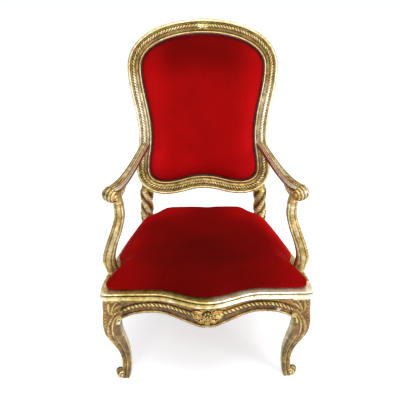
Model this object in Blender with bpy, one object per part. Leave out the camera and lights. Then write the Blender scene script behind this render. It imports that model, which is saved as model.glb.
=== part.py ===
"""A gilded, carved armchair throne with velvet upholstery, at its real size in metres, +Z up.

The sitter faces -Y. Plan places are measured from the front corners of the seat: +Y runs to the back.
The empty throne_frame shifts everything so that the origin is on the floor, under the middle of the chair.
"""

import math

import bmesh
import bpy
from mathutils import Vector

# Joints between pieces
GAP = 0.0003

# Seat
SEAT_HALF_WIDTH = 0.350
SEAT_TOP = 0.388
SEAT_DEPTH = 0.480
BOW_DEPTH = 0.051
BOW_HALF_WIDTH = 0.18
FRONT_RAIL_THICKNESS = 0.034
SIDE_RAIL_THICKNESS = 0.044
SIDE_RAIL_BOW = 0.010
SIDE_RAIL_HEIGHT = 0.078
SIDE_RAIL_SPRING = 0.020
BACK_RAIL_HEIGHT = 0.066
BACK_RAIL_SPRING = 0.014
BACK_RAIL_THICKNESS = 0.028
BACK_RAIL_INSET = 0.006
APRON_CENTRE = 0.102
APRON_ARCH = 0.080
APRON_SPRING = 0.106
APRON_ARCH_AT = 0.185
APRON_LOBE = 0.004
ROPE_ABOVE_EDGE = 0.033
ROPE_LIFT = 0.013
ROPE_HALF_BAND = 0.007
SEAT_ROPE_PITCH = 0.0135

# The moulding along the top of the seat rails, as (below the top, out from the face)
MOULDING_BEAD = 0.006
MOULDING_BAND = 0.009
MOULDING_HEIGHT = 0.026

# The flower in the middle of the front rail
FLOWER_RADIUS = 0.021
FLOWER_ABOVE_EDGE = 0.046
FLOWER_HEIGHT = 0.0125
LEAF_LENGTH = 0.046
LEAF_HALF_WIDTH = 0.0072

# Front legs
LEG_BLOCK_HALF = 0.030
FOOT_SCROLL_RADIUS = 0.0165
FOOT_SCROLL_WIDTH = 0.030
FOOT_SCROLL_LIFT = 0.003
FOOT_SCROLL_IN = 0.007

# Back frame, drawn in its own leaning plane: across, and up from the seat line
BACK_LEAN = math.radians(10.9)
SEAT_LINE = SEAT_TOP + 0.062
BACK_SETBACK = 0.016
BACK_FACE_Y = SEAT_DEPTH + BACK_SETBACK
FRAME_WIDTH = 0.050
FRAME_DEPTH = 0.040
FRAME_ROPE_PITCH = 0.0110
CREST = (0.0, 0.713)
SHOULDER = (0.263, 0.562)
WAIST = (0.2295, 0.300)
HIP = (0.2425, 0.165)
LOBE = (0.152, 0.0855)
DIP = (0.0, 0.1095)
CREST_JOINT = 0.27
LOWER_JOINT = 0.175
RIBBON_WIDTH = 0.034
RIBBON_HEIGHT = 0.0100

# Back legs, which run on as the twisted posts under the back
POST_INSET = 0.012
POST_X = HIP[0] - POST_INSET
POST_WIDTH = 0.048
POST_DEPTH = 0.042
BACK_FOOT_RAKE = 0.105
BACK_FOOT_WIDTH = 0.032
TWIST_START = SEAT_TOP + 0.014
TWIST_HEIGHT = 0.118
TWIST_TURN = 1.15 * math.pi
TWIST_LOBES = 4
TWIST_RELIEF = 0.13

# Arm supports
SUPPORT_INSET = 0.028
SUPPORT_FOOT_X = SEAT_HALF_WIDTH - SUPPORT_INSET
SUPPORT_FOOT_Y = 0.120
SUPPORT_FOOT_WIDTH = 0.038
SUPPORT_FOOT_DEPTH = 0.044
SUPPORT_HEIGHT = 0.252
SUPPORT_BULGE = 0.013
SUPPORT_SWELL = 0.0025
NECK_X = SUPPORT_FOOT_X - 0.0265
NECK_Y = SUPPORT_FOOT_Y + 0.048
NECK_WIDTH = 0.034
NECK_DEPTH = 0.036

# Arms
ARM_ROOT_UP = 0.248
ARM_ROOT_OUT = 0.006
ARM_ROOT_FORWARD = 0.014
SHOULDER_SINK = 1.1 * FRAME_DEPTH
ARM_ROOT_WIDTH = 0.030
ARM_ROOT_HEIGHT = 0.036
ARM_HEIGHT = 0.027
ARM_SAG = 0.013
ARM_FLARE = 0.060
ARM_SCROLL_TURN = math.radians(38)
ARM_SCROLL_RADIUS = 0.0275
ARM_SCROLL_WIDTH = 0.050
ARM_SCROLL_RISE = 0.0335
ARM_SCROLL_X = SUPPORT_FOOT_X - 0.003
ARM_SCROLL_Y = NECK_Y - 0.008
ARM_JOINT_Z = SEAT_TOP + SUPPORT_HEIGHT
ARM_SCROLL_Z = ARM_JOINT_Z + ARM_SCROLL_RISE
EAR_LENGTH = 0.074
EAR_RADIUS = 0.015

# Upholstery
CUSHION_INSET = 0.007
CUSHION_CORNER = 0.014
CUSHION_CROWN = 0.080
CUSHION_BEHIND_RAIL = 0.047
CUSHION_CLEARANCE = 0.002
PANEL_CLEARANCE = 0.0006
PANEL_CROWN = 0.024
PANEL_THICKNESS = 0.020
PANEL_SINK = 0.42
LINING_THICKNESS = 0.005
LINING_SINK = 0.0015

# Worked out from the values above
DEPTH_AT_CREST = (
    BACK_FACE_Y
    + (CREST[1] + FRAME_WIDTH / 2) * math.sin(BACK_LEAN)
    + FRAME_DEPTH * math.cos(BACK_LEAN)
)
CENTRE_Y = (DEPTH_AT_CREST - BOW_DEPTH - MOULDING_BAND) / 2


# Mesh tools


def material(name, colour, roughness, metallic):
    made = bpy.data.materials.new(name)
    made.use_nodes = True
    shader = made.node_tree.nodes["Principled BSDF"]
    shader.inputs["Base Color"].default_value = (*colour, 1)
    shader.inputs["Roughness"].default_value = roughness
    shader.inputs["Metallic"].default_value = metallic
    return made


def new_object(name, points, faces, finish, smooth=True):
    """A mesh object under the throne's own empty, with its faces pointing out."""
    mesh = bpy.data.meshes.new(name)
    mesh.from_pydata([tuple(p) for p in points], [], faces)
    cleaner = bmesh.new()
    cleaner.from_mesh(mesh)
    bmesh.ops.recalc_face_normals(cleaner, faces=cleaner.faces)
    cleaner.to_mesh(mesh)
    cleaner.free()
    obj = bpy.data.objects.new(name, mesh)
    bpy.context.scene.collection.objects.link(obj)
    obj.parent = bpy.data.objects["throne_frame"]
    mesh.materials.append(finish)
    if smooth:
        mesh.shade_smooth()
        mesh.set_sharp_from_angle(angle=math.radians(35))
    return obj


def loft(name, rings, finish):
    """A closed solid through rings that all have the same number of points, with flat ends."""
    count = len(rings[0])
    points = [p for ring in rings for p in ring]
    faces = []
    for k in range(len(rings) - 1):
        for i in range(count):
            j = (i + 1) % count
            low, high = k * count, (k + 1) * count
            faces.append((low + i, low + j, high + j, high + i))
    faces.append(tuple(range(count)))
    faces.append(tuple(range(len(points) - count, len(points))))
    return new_object(name, points, faces, finish)


def rope_sweep(name, ring_at, starts, rope_index, crest_at, strands, finish):
    """A moulding swept through the places in starts, with a chain of raised strands along one of its lines.

    ring_at(s) gives the section at s. crest_at(s, share) gives the strands' own line: share is 1 on a
    strand and 0 between two. Each stretch between two places holds the same number of strands.
    """
    rings = [ring_at(s) for s in starts]
    count = len(rings[0])
    points = [p for ring in rings for p in ring]
    faces = []
    before, after = rope_index - 1, (rope_index + 1) % count
    for k in range(len(rings) - 1):
        low, high = k * count, (k + 1) * count
        for i in range(count):
            j = (i + 1) % count
            if rope_index not in (i, j):
                faces.append((low + i, low + j, high + j, high + i))
        chain = [low + rope_index]
        steps = 2 * strands
        for step in range(1, steps):
            s = starts[k] + (starts[k + 1] - starts[k]) * step / steps
            chain.append(len(points))
            points.append(crest_at(s, step % 2))
        chain.append(high + rope_index)
        middle = steps // 2
        for edge in (before, after):
            for step in range(steps):
                nearest = (low if step < middle else high) + edge
                faces.append((nearest, chain[step], chain[step + 1]))
            faces.append((low + edge, chain[middle], high + edge))
    faces.append(tuple(range(count)))
    faces.append(tuple(range(len(rings) * count - count, len(rings) * count)))
    return new_object(name, points, faces, finish)


def fuse(target, *others):
    """Joins the others into the target as one solid, and removes them."""
    for other in others:
        union = target.modifiers.new("join", "BOOLEAN")
        union.operation = "UNION"
        union.solver = "EXACT"
        union.use_self = True
        union.object = other
    bpy.context.view_layer.update()
    graph = bpy.context.evaluated_depsgraph_get()
    mesh = bpy.data.meshes.new_from_object(target.evaluated_get(graph))
    target.modifiers.clear()
    target.data = mesh
    for other in others:
        bpy.data.objects.remove(other)
    return target


def mirrored(points, side):
    """Points drawn for the +X half, taken to the side asked for (1 or -1)."""
    return [Vector((side * p[0], p[1], p[2])) for p in points]


def between(low, high, share):
    return low + (high - low) * share


def smooth_step(share):
    share = min(max(share, 0.0), 1.0)
    return share * share * (3 - 2 * share)


def bezier(a, b, c, d, share):
    rest = 1 - share
    return (
        a * rest**3
        + b * 3 * rest**2 * share
        + c * 3 * rest * share**2
        + d * share**3
    )


def through(table, at):
    """Reads a table of rows (position, value, ...) at a position, with soft curves between the rows."""
    for low, high in zip(table, table[1:]):
        if at <= high[0] or high is table[-1]:
            share = smooth_step((at - low[0]) / (high[0] - low[0]))
            return [between(a, b, share) for a, b in zip(low[1:], high[1:])]
    return list(table[0][1:])


def polar(radius_across, radius_along, count, turn=0.0):
    """Points round an oval in a flat section."""
    return [
        (
            radius_across * math.cos(turn + 2 * math.pi * i / count),
            radius_along * math.sin(turn + 2 * math.pi * i / count),
        )
        for i in range(count)
    ]


# Scrolls: a drum whose edge winds in, with a raised eye on each side

SCROLL_RINGS = (
    (-0.58, 0.16),
    (-0.56, 0.32),
    (-0.45, 0.48),
    (-0.47, 0.80),
    (-0.36, 1.00),
    (0.36, 1.00),
    (0.47, 0.80),
    (0.45, 0.48),
    (0.56, 0.32),
    (0.58, 0.16),
)


def scroll(name, centre, axis, front, radius, width, winding, count, finish):
    """A drum along axis. Its radius shrinks by winding in one turn, from the top over to the front."""
    axis, up, front = Vector(axis), Vector((0, 0, 1)), Vector(front)
    rings = []
    for along, share in SCROLL_RINGS:
        ring = []
        for i in range(count):
            turn = 2 * math.pi * i / count
            reach = radius * share * (1 - winding * i / count)
            ring.append(
                Vector(centre)
                + axis * (along * width)
                + up * (reach * math.cos(turn))
                + front * (reach * math.sin(turn))
            )
        rings.append(ring)
    return loft(name, rings, finish)


# Back frame


def back_plane_point(across, up, forward):
    """A point from its place in the leaning plane of the back; forward is out of its front face."""
    return Vector(
        (
            across,
            BACK_FACE_Y + up * math.sin(BACK_LEAN) - forward * math.cos(BACK_LEAN),
            SEAT_LINE + up * math.cos(BACK_LEAN) + forward * math.sin(BACK_LEAN),
        )
    )


def half_outline():
    """The middle line of the back frame's moulding, from the crest down the +X side to the dip below."""
    right, down, left = Vector((1, 0)), Vector((0, -1)), Vector((-1, 0))
    # Each corner: place, direction, and how far its curve keeps to that direction before and after it,
    # as a share of the way to the next corner
    corners = [
        (Vector(CREST), right, 0.0, 0.50),
        (Vector(SHOULDER), down, 0.67, 0.345),
        (Vector(WAIST), down, 0.38, 0.37),
        (Vector(HIP), down, 0.37, 0.63),
        (Vector(LOBE), left, 0.61, 0.395),
        (Vector(DIP), left, 0.395, 0.0),
    ]
    line = []
    steps = 24
    for low, high in zip(corners, corners[1:]):
        a, d = low[0], high[0]
        span = d - a
        b = a + low[1] * (low[3] * abs(span.dot(low[1])))
        c = d - high[1] * (high[2] * abs(span.dot(high[1])))
        line += [bezier(a, b, c, d, i / steps) for i in range(steps)]
    line.append(Vector(DIP))
    return line


class Outline:
    """The whole closed line by its length s: 0 at the crest, the +X half first, -s on the other half."""

    def __init__(self):
        self.points = half_outline()
        self.lengths = [0.0]
        for a, b in zip(self.points, self.points[1:]):
            self.lengths.append(self.lengths[-1] + (b - a).length)
        self.half = self.lengths[-1]

    def half_at(self, s):
        for k in range(len(self.lengths) - 1):
            if s <= self.lengths[k + 1] or k == len(self.lengths) - 2:
                run = self.lengths[k + 1] - self.lengths[k]
                share = (s - self.lengths[k]) / run
                return self.points[k].lerp(self.points[k + 1], share)

    def at(self, s):
        """The point at s."""
        s = (s + self.half) % (2 * self.half) - self.half
        point = self.half_at(abs(s))
        return Vector((math.copysign(point.x, s) if s else 0.0, point.y))

    def out(self, s):
        """The direction away from the middle of the back, square to the line."""
        reach = FRAME_WIDTH / 8
        along = self.at(s + reach) - self.at(s - reach)
        return Vector((-along.y, along.x)).normalized()


# Shares of the moulding's width, from its inner edge (-0.5) to its outer one, and of its depth
FRAME_PROFILE = (
    (-0.50, 0.00),
    (-0.50, 0.62),
    (-0.43, 0.76),
    (-0.34, 0.64),
    (-0.12, 0.80),
    (0.03, 0.96),
    (0.18, 0.80),
    (0.24, 0.92),
    (0.37, 1.00),
    (0.50, 0.78),
    (0.50, 0.00),
)
FRAME_ROPE_LINE = 5
FRAME_STRANDS = 2
ROPE_SLANT = 0.07
ROPE_NOTCH = 0.16


def frame_ring(outline, s):
    point, out = outline.at(s), outline.out(s)
    ring = []
    for across, depth in FRAME_PROFILE:
        place = point + out * (across * FRAME_WIDTH)
        ring.append(back_plane_point(place.x, place.y, (depth - 1) * FRAME_DEPTH))
    return ring


def frame_rope(outline, s, share):
    """The strands lean one way on each side of the crest."""
    point, out = outline.at(s), outline.out(s)
    across, depth = FRAME_PROFILE[FRAME_ROPE_LINE]
    across += ROPE_SLANT * (2 * share - 1)
    depth += ROPE_NOTCH * (share - 1)
    place = point + out * (across * FRAME_WIDTH)
    return back_plane_point(place.x, place.y, (depth - 1) * FRAME_DEPTH)


def frame_piece(name, outline, start, end, finish):
    """A stretch of the back frame between two lengths along its line."""
    return rope_sweep(
        name,
        lambda s: frame_ring(outline, s),
        frame_stations(start, end),
        FRAME_ROPE_LINE,
        lambda s, share: frame_rope(outline, s, share),
        FRAME_STRANDS,
        finish,
    )


def frame_stations(start, end):
    """Even places along the frame's line, a whole number of strands apart."""
    stretches = max(1, round((end - start) / (FRAME_STRANDS * FRAME_ROPE_PITCH)))
    return [between(start, end, k / stretches) for k in range(stretches + 1)]


def frame_joints(outline):
    """The places of the four joints: the stile on the +X side lies between the first two."""
    return CREST_JOINT, outline.half - LOWER_JOINT, outline.half + LOWER_JOINT, 2 * outline.half - CREST_JOINT


def crest_rail(outline, gold):
    rail = frame_piece("crest_rail", outline, -CREST_JOINT, CREST_JOINT, gold)
    x, up = CREST
    ribbon = []
    for along, share in ((-0.5, 0.15), (-0.24, 0.6), (0.24, 0.6), (0.5, 0.15)):
        tall, deep = share * RIBBON_HEIGHT * 1.6, share * RIBBON_HEIGHT
        ring = [
            back_plane_point(
                x + along * RIBBON_WIDTH, up + a * tall - 0.08 * FRAME_WIDTH, b * deep - 0.1 * FRAME_DEPTH
            )
            for a, b in polar(1, 1, 6)
        ]
        ribbon.append(ring)
    return fuse(rail, loft("ribbon", ribbon, gold))


def lower_back_rail(outline, gold):
    joints = frame_joints(outline)
    return frame_piece("lower_back_rail", outline, joints[1], joints[2], gold)


# Back legs with their twisted posts and the stiles above


def back_leg_centre(z):
    """The middle of the back leg and post. It is upright at the seat, leans with the back above it and
    rakes back below it."""
    joint_y = SEAT_DEPTH + POST_DEPTH / 2
    rail_bottom = SEAT_TOP - SIDE_RAIL_HEIGHT
    drop = max(rail_bottom - z, 0.0) / rail_bottom
    return joint_y + max(z - SEAT_TOP, 0.0) * math.tan(BACK_LEAN) + BACK_FOOT_RAKE * drop**2


def back_leg(outline, side, gold):
    rings = []
    corner = 0.78
    square = [
        (1, -corner), (1, corner), (corner, 1), (-corner, 1),
        (-1, corner), (-1, -corner), (-corner, -1), (corner, -1),
    ]

    def ring(z, width, depth, relief=0.0, turn=0.0):
        y = back_leg_centre(z)
        made = []
        for i, (a, b) in enumerate(square):
            around = math.atan2(b, a)
            swell = 1 + relief * math.cos(TWIST_LOBES * (around - turn))
            if relief:
                a, b = 1.02 * math.cos(around), 1.02 * math.sin(around)
            made.append((POST_X + a * swell * width / 2, y + b * swell * depth / 2, z))
        return mirrored(made, side)

    rail_bottom = SEAT_TOP - SIDE_RAIL_HEIGHT
    for share in (0.0, 0.22, 0.45, 0.68, 0.90):
        width = between(BACK_FOOT_WIDTH, POST_DEPTH, share)
        rings.append(ring(share * rail_bottom, width, width))
    rings.append(ring(rail_bottom, POST_WIDTH, POST_DEPTH))
    rings.append(ring(SEAT_TOP, POST_WIDTH, POST_DEPTH))
    rings.append(ring(between(SEAT_TOP, TWIST_START, 0.7), POST_WIDTH * 0.94, POST_DEPTH * 0.94))
    steps = 8
    for k in range(steps + 1):
        share = k / steps
        z = TWIST_START + share * TWIST_HEIGHT
        waist = 1 - 0.08 * math.sin(math.pi * share)
        rings.append(
            ring(
                z,
                POST_WIDTH * 1.04 * waist,
                POST_DEPTH * 0.98 * waist,
                TWIST_RELIEF,
                side * TWIST_TURN * share,
            )
        )
    frame_edge = TWIST_START + TWIST_HEIGHT
    rings.append(ring(frame_edge + 0.1 * FRAME_WIDTH, POST_WIDTH * 0.92, FRAME_DEPTH * 0.80))
    rings.append(ring(frame_edge + 0.7 * FRAME_WIDTH, POST_WIDTH * 0.60, FRAME_DEPTH * 0.60))
    leg = loft("leg", rings, gold)

    joints = frame_joints(outline)
    start, end = joints[:2] if side > 0 else joints[2:]
    start, end = start + GAP, end - GAP
    stile = frame_piece("back_leg_" + SIDE_NAMES[side], outline, start, end, gold)
    return fuse(stile, leg, arm_shoulder(side, gold))


# Arms


def arm_line(share):
    """The middle line of the +X arm, from the stile (0) to the top of its scroll (1). It runs forward and
    then flares out to the way its scroll faces."""
    root = arm_root()
    end = Vector((ARM_SCROLL_X, ARM_SCROLL_Y, ARM_SCROLL_Z + ARM_SCROLL_RADIUS - ARM_HEIGHT / 2))
    span = end - root
    leaving = root + Vector((0.31 * span.x, 0.36 * span.y, -ARM_SAG))
    flare = Vector((math.sin(ARM_SCROLL_TURN), -math.cos(ARM_SCROLL_TURN), 0))
    arriving = end - flare * ARM_FLARE - Vector((0, 0, 0.6 * ARM_SAG))
    return bezier(root, leaving, arriving, end, share)


def arm_root():
    """Where the arm leaves the shoulder on the stile."""
    return back_plane_point(WAIST[0] + ARM_ROOT_OUT, ARM_ROOT_UP, ARM_ROOT_FORWARD)


def arm_axes(share):
    """Across and up for the arm's section, square to its line."""
    step = 0.01
    low, high = max(share - step, 0.0), min(share + step, 1.0)
    along = (arm_line(high) - arm_line(low)).normalized()
    across = along.cross(Vector((0, 0, 1))).normalized()
    return -across, -across.cross(along)


# Shares of the arm's half width and half height
ARM_PROFILE = (
    (1.00, 0.10),
    (0.84, 0.66),
    (0.42, 0.74),
    (0.00, 1.00),
    (-0.42, 0.74),
    (-0.84, 0.66),
    (-1.00, 0.10),
    (-0.72, -0.72),
    (0.00, -1.00),
    (0.72, -0.72),
)
ARM_ROPE_LINE = 3


def arm_size(share):
    width = between(ARM_ROOT_WIDTH, ARM_SCROLL_WIDTH * 0.94, smooth_step(share) ** 1.6)
    height = between(ARM_ROOT_HEIGHT, ARM_HEIGHT, smooth_step(share * 1.6))
    return width, height


def arm_point(share, a, b):
    centre = arm_line(share)
    across, up = arm_axes(share)
    width, height = arm_size(share)
    return centre + across * (a * width / 2) + up * (b * height / 2)


def arm(side, gold):
    strands = 2
    stretches = 11

    def ring_at(share):
        return mirrored([arm_point(share, a, b) for a, b in ARM_PROFILE], side)

    def crest_at(share, on_strand):
        lean = 0.10 * (2 * on_strand - 1)
        low = 0.70 + 0.30 * on_strand
        return mirrored([arm_point(share, lean, low)], side)[0]

    starts = [k / stretches for k in range(stretches + 1)]
    name = "arm_" + SIDE_NAMES[side]
    beam = rope_sweep(name, ring_at, starts, ARM_ROPE_LINE, crest_at, strands, gold)

    centre = (side * ARM_SCROLL_X, ARM_SCROLL_Y, ARM_SCROLL_Z)
    cos_turn, sin_turn = math.cos(ARM_SCROLL_TURN), math.sin(ARM_SCROLL_TURN)
    drum = scroll(
        "drum", centre, (side * cos_turn, sin_turn, 0), (side * sin_turn, -cos_turn, 0),
        ARM_SCROLL_RADIUS, ARM_SCROLL_WIDTH, 0.14, 14, gold,
    )
    neck_rings = []
    for rise, grow in ((0.0, 1.0), (0.33, 1.06), (1.35, 1.12)):
        shift = rise * 0.35 * (ARM_SCROLL_X - NECK_X)
        neck_rings.append(
            mirrored(
                [
                    (NECK_X + shift + a * grow, NECK_Y + b * grow, ARM_JOINT_Z + rise * ARM_SCROLL_RISE)
                    for a, b in polar(NECK_WIDTH / 2, NECK_DEPTH / 2, 10)
                ],
                side,
            )
        )
    neck = loft("neck", neck_rings, gold)
    ear_rings = []
    for share, size in ((0.0, 0.85), (0.35, 1.0), (0.7, 0.77), (1.0, 0.23)):
        along, reach = share * EAR_LENGTH, size * EAR_RADIUS
        centre_x, centre_y = NECK_X - 0.20 * along, NECK_Y + NECK_DEPTH / 3 + along
        centre_z = ARM_SCROLL_Z - 0.4 * EAR_RADIUS + 0.06 * along
        ear_rings.append(
            mirrored(
                [(centre_x + a, centre_y, centre_z + b) for a, b in polar(reach * 0.8, reach, 8)],
                side,
            )
        )
    ear = loft("ear", ear_rings, gold)
    return fuse(beam, drum, neck, ear)


def arm_shoulder(side, gold):
    """The block on the stile that the arm's end is joined to, with the arm's own section."""
    rings = []
    across, up = arm_axes(0.0)
    along = across.cross(up)
    if along.y > 0:
        along = -along
    width, height = arm_size(0.0)
    for depth, grow in ((-SHOULDER_SINK, 0.92), (-SHOULDER_SINK / 3, 1.05), (-GAP, 1.0)):
        centre = arm_root() + along * depth
        rings.append(
            mirrored(
                [
                    centre + across * (a * grow * width / 2) + up * (b * grow * height / 2)
                    for a, b in ARM_PROFILE
                ],
                side,
            )
        )
    return loft("shoulder", rings, gold)


def support_rows():
    """Rows: height, x, y, half width, half depth."""
    low, high = SEAT_TOP + GAP, ARM_JOINT_Z - GAP
    foot_w, foot_d = SUPPORT_FOOT_WIDTH / 2, SUPPORT_FOOT_DEPTH / 2
    neck_w, neck_d = NECK_WIDTH / 2, NECK_DEPTH / 2
    shares = (
        (0.0, 0.0, 0.0, 0.0, 0.0),
        (0.24, 0.0, 0.04, 1.0, 1.0),
        (0.64, 0.61, 0.54, 0.0, 1.0),
        (0.82, 1.05, 0.92, 0.0, 0.0),
        (1.0, 1.0, 1.0, 0.0, 0.0),
    )
    rows = []
    for rise, across, along, bulge, swell in shares:
        narrow = smooth_step((rise - 0.24) / 0.4)
        rows.append(
            (
                between(low, high, rise),
                between(SUPPORT_FOOT_X, NECK_X, across) + bulge * SUPPORT_BULGE,
                between(SUPPORT_FOOT_Y, NECK_Y, along),
                between(foot_w, neck_w, narrow) + swell * SUPPORT_SWELL,
                between(foot_d, neck_d, narrow),
            )
        )
    return rows


def arm_support(side, gold):
    rows = support_rows()
    low, high = rows[0][0], rows[-1][0]
    outline = (
        (1.0, -0.55), (1.0, 0.30), (0.80, 0.85), (-0.45, 1.0), (-1.0, 0.60),
        (-1.0, -0.50), (-0.72, -0.86), (0.0, -1.0), (0.62, -0.94), (0.86, -0.80),
    )
    rings = []
    steps = 13
    for k in range(steps + 1):
        z = between(low, high, k / steps)
        x, y, half_width, half_depth = through(rows, z)
        rings.append(
            mirrored([(x + a * half_width, y + b * half_depth, z) for a, b in outline], side)
        )
    return loft("arm_support_" + SIDE_NAMES[side], rings, gold)


# Seat rails


def bow(x):
    """How far the front of the seat stands forward of its corners."""
    if abs(x) >= BOW_HALF_WIDTH:
        return 0.0
    return BOW_DEPTH * 0.5 * (1 + math.cos(math.pi * x / BOW_HALF_WIDTH))


def apron_drop(x):
    """How far the lower edge of the front rail lies under the top of the seat."""
    x = abs(x)
    end = SEAT_HALF_WIDTH - 2 * LEG_BLOCK_HALF
    if x < APRON_ARCH_AT:
        share = smooth_step(x / APRON_ARCH_AT)
        lobe = APRON_LOBE * math.exp(-(((x - FLOWER_RADIUS) / FLOWER_RADIUS) ** 2))
        return between(APRON_CENTRE, APRON_ARCH, share) + lobe
    share = (x - APRON_ARCH_AT) / (end - APRON_ARCH_AT)
    return between(APRON_ARCH, APRON_SPRING, share**2.6)


def rope_height(x):
    """The rope's middle, above the seat top: it stands further from the lower edge towards the flower."""
    lift = ROPE_LIFT * (1 - smooth_step(min(abs(x) / APRON_ARCH_AT, 1.0)))
    return ROPE_ABOVE_EDGE + lift - apron_drop(x)


# The moulding's corners: shares of its height down, and how far out as a share of the bead or the band
TOP_MOULDING = (
    (0.0, 0.15, "bead"),
    (0.15, 1.0, "bead"),
    (0.31, 0.25, "bead"),
    (0.42, 0.83, "band"),
    (0.85, 1.0, "band"),
    (1.0, 0.0, "band"),
)


def top_moulding():
    """The moulding as (below the seat top, out from the face)."""
    reach = {"bead": MOULDING_BEAD, "band": MOULDING_BAND}
    return [(down * MOULDING_HEIGHT, out * reach[kind]) for down, out, kind in TOP_MOULDING]


def front_rail_ring(x):
    """The moulded section at x: the moulding hangs from the top, the rope and the bottom bead follow the
    lower edge."""
    drop = -apron_drop(x)
    face = -bow(x)
    sink = MOULDING_BEAD * 0.67
    rope = rope_height(x)
    profile = [(FRONT_RAIL_THICKNESS, 0.0)]
    profile += [(-out, -down) for down, out in top_moulding()]
    profile += [
        (sink, -MOULDING_HEIGHT - 2 * sink),
        (sink, rope + ROPE_HALF_BAND),
        (-sink, rope),
        (sink, rope - ROPE_HALF_BAND),
        (sink * 1.5, drop + 0.36 * ROPE_ABOVE_EDGE),
        (-sink * 0.5, drop + 0.21 * ROPE_ABOVE_EDGE),
        (0.0, drop),
        (FRONT_RAIL_THICKNESS, drop),
    ]
    return [Vector((x, face + y, SEAT_TOP + z)) for y, z in profile]


FRONT_ROPE_LINE = 9


def front_rail_rope(x, share):
    """A strand's crest stands out, and leans along the rail."""
    rope = rope_height(x) + 0.45 * ROPE_HALF_BAND * (2 * share - 1)
    out = between(-0.5, 0.75, share) * MOULDING_BEAD
    return Vector((x, -bow(x) - out, SEAT_TOP + rope))


def rosette(gold):
    """The flower in the middle of the front rail: petals round a boss, on a leafy ground."""
    z = SEAT_TOP - APRON_CENTRE + FLOWER_ABOVE_EDGE
    petals = 12
    rings = []
    for forward, share, dent in (
        (-0.72, 0.90, 0.0),
        (0.08, 1.00, 0.26),
        (0.56, 0.71, 0.18),
        (0.44, 0.43, 0.0),
        (0.76, 0.24, 0.0),
    ):
        y = -BOW_DEPTH - forward * FLOWER_HEIGHT
        ring = []
        for i in range(petals):
            turn = 2 * math.pi * i / petals
            r = FLOWER_RADIUS * share * (1 - dent * (i % 2))
            ring.append(Vector((r * math.cos(turn), y, z + r * math.sin(turn))))
        rings.append(ring)
    flower = loft("flower", rings, gold)
    leaves = []
    for side in (-1, 1):
        for rise, length in ((0.83, LEAF_LENGTH), (-1.25, 0.87 * LEAF_LENGTH)):
            leaf = []
            for share, size in ((0.30, 0.83), (0.62, 1.0), (1.0, 0.28)):
                x = side * length * share
                reach = size * LEAF_HALF_WIDTH
                height = z + rise * share * 1.3 * LEAF_HALF_WIDTH
                leaf.append(
                    [Vector((x, -bow(x) + b * reach * 1.1, height + a * reach)) for a, b in polar(1, 1, 6)]
                )
            leaves.append(loft("leaf", leaf, gold))
    return fuse(flower, *leaves)


def front_rail(gold):
    end = SEAT_HALF_WIDTH - 2 * LEG_BLOCK_HALF - GAP
    strands = 2
    stretches = 2 * round(end / (strands * SEAT_ROPE_PITCH))
    starts = [between(-end, end, k / stretches) for k in range(stretches + 1)]
    rail = rope_sweep(
        "front_rail", front_rail_ring, starts, FRONT_ROPE_LINE, front_rail_rope, strands, gold
    )
    return fuse(rail, rosette(gold))


def side_line(share):
    """The outer face of the +X side rail in plan, from the front leg to the back post."""
    front = Vector((SEAT_HALF_WIDTH, 2 * LEG_BLOCK_HALF + GAP))
    back = Vector((POST_X + POST_WIDTH / 2, SEAT_DEPTH - GAP))
    along = (back - front).normalized()
    out = Vector((along.y, -along.x))
    return front.lerp(back, share) + out * (SIDE_RAIL_BOW * 4 * share * (1 - share))


def side_rail(side, gold):
    sink = MOULDING_BEAD * 0.67
    rings = []
    steps = 9
    for k in range(steps + 1):
        share = k / steps
        place = side_line(share)
        low, high = max(share - 0.02, 0.0), min(share + 0.02, 1.0)
        along = (side_line(high) - side_line(low)).normalized()
        out = Vector((along.y, -along.x))
        if k in (0, steps):
            out = Vector((1, 0))
        drop = SIDE_RAIL_HEIGHT + SIDE_RAIL_SPRING * (2 * abs(share - 0.45)) ** 3
        profile = [(-SIDE_RAIL_THICKNESS, 0.0)]
        profile += [(0.83 * a, down) for down, a in top_moulding()]
        profile += [
            (-sink, MOULDING_HEIGHT + 2 * sink),
            (-1.25 * sink, drop - ROPE_HALF_BAND * 1.6),
            (0.5 * sink, drop - ROPE_HALF_BAND),
            (0.0, drop),
            (-SIDE_RAIL_THICKNESS, drop),
        ]
        ring = [(place.x + out.x * a, place.y + out.y * a, SEAT_TOP - down) for a, down in profile]
        rings.append(mirrored(ring, side))
    return loft("side_rail_" + SIDE_NAMES[side], rings, gold)


def back_rail(gold):
    half = POST_X - POST_WIDTH / 2 - GAP
    y = SEAT_DEPTH + BACK_RAIL_INSET
    steps = 10
    rings = []
    for k in range(steps + 1):
        x = between(-half, half, k / steps)
        low = BACK_RAIL_HEIGHT + BACK_RAIL_SPRING * (abs(x) / half) ** 3
        rings.append(
            [
                Vector((x, y, SEAT_TOP)),
                Vector((x, y + BACK_RAIL_THICKNESS, SEAT_TOP)),
                Vector((x, y + BACK_RAIL_THICKNESS, SEAT_TOP - low)),
                Vector((x, y, SEAT_TOP - low)),
            ]
        )
    return loft("back_rail", rings, gold)


# Front legs: a moulded block at the corner of the seat, then a cabriole curve to a scrolled foot


# Below the block, as shares of the seat's height and of the block's half width: how far down, shift
# outwards, shift forwards, reach of the section, and how far the section has turned from block to leg
LEG_CURVE = (
    (0.232, 0.133, 0.133, 1.381, 0.15),
    (0.309, 0.247, 0.240, 1.310, 0.40),
    (0.381, 0.240, 0.220, 1.247, 0.70),
    (0.464, 0.107, 0.100, 1.147, 1.0),
    (0.546, -0.247, -0.107, 1.020, 1.0),
    (0.619, -0.560, -0.253, 0.880, 1.0),
    (0.683, -0.807, -0.333, 0.773, 1.0),
    (0.773, -1.000, -0.333, 0.660, 1.0),
    (0.889, -0.967, -0.200, 0.633, 1.0),
    (0.959, -0.867, -0.033, 0.617, 1.0),
    (1.0, -0.833, 0.033, 0.500, 1.0),
)


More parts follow.
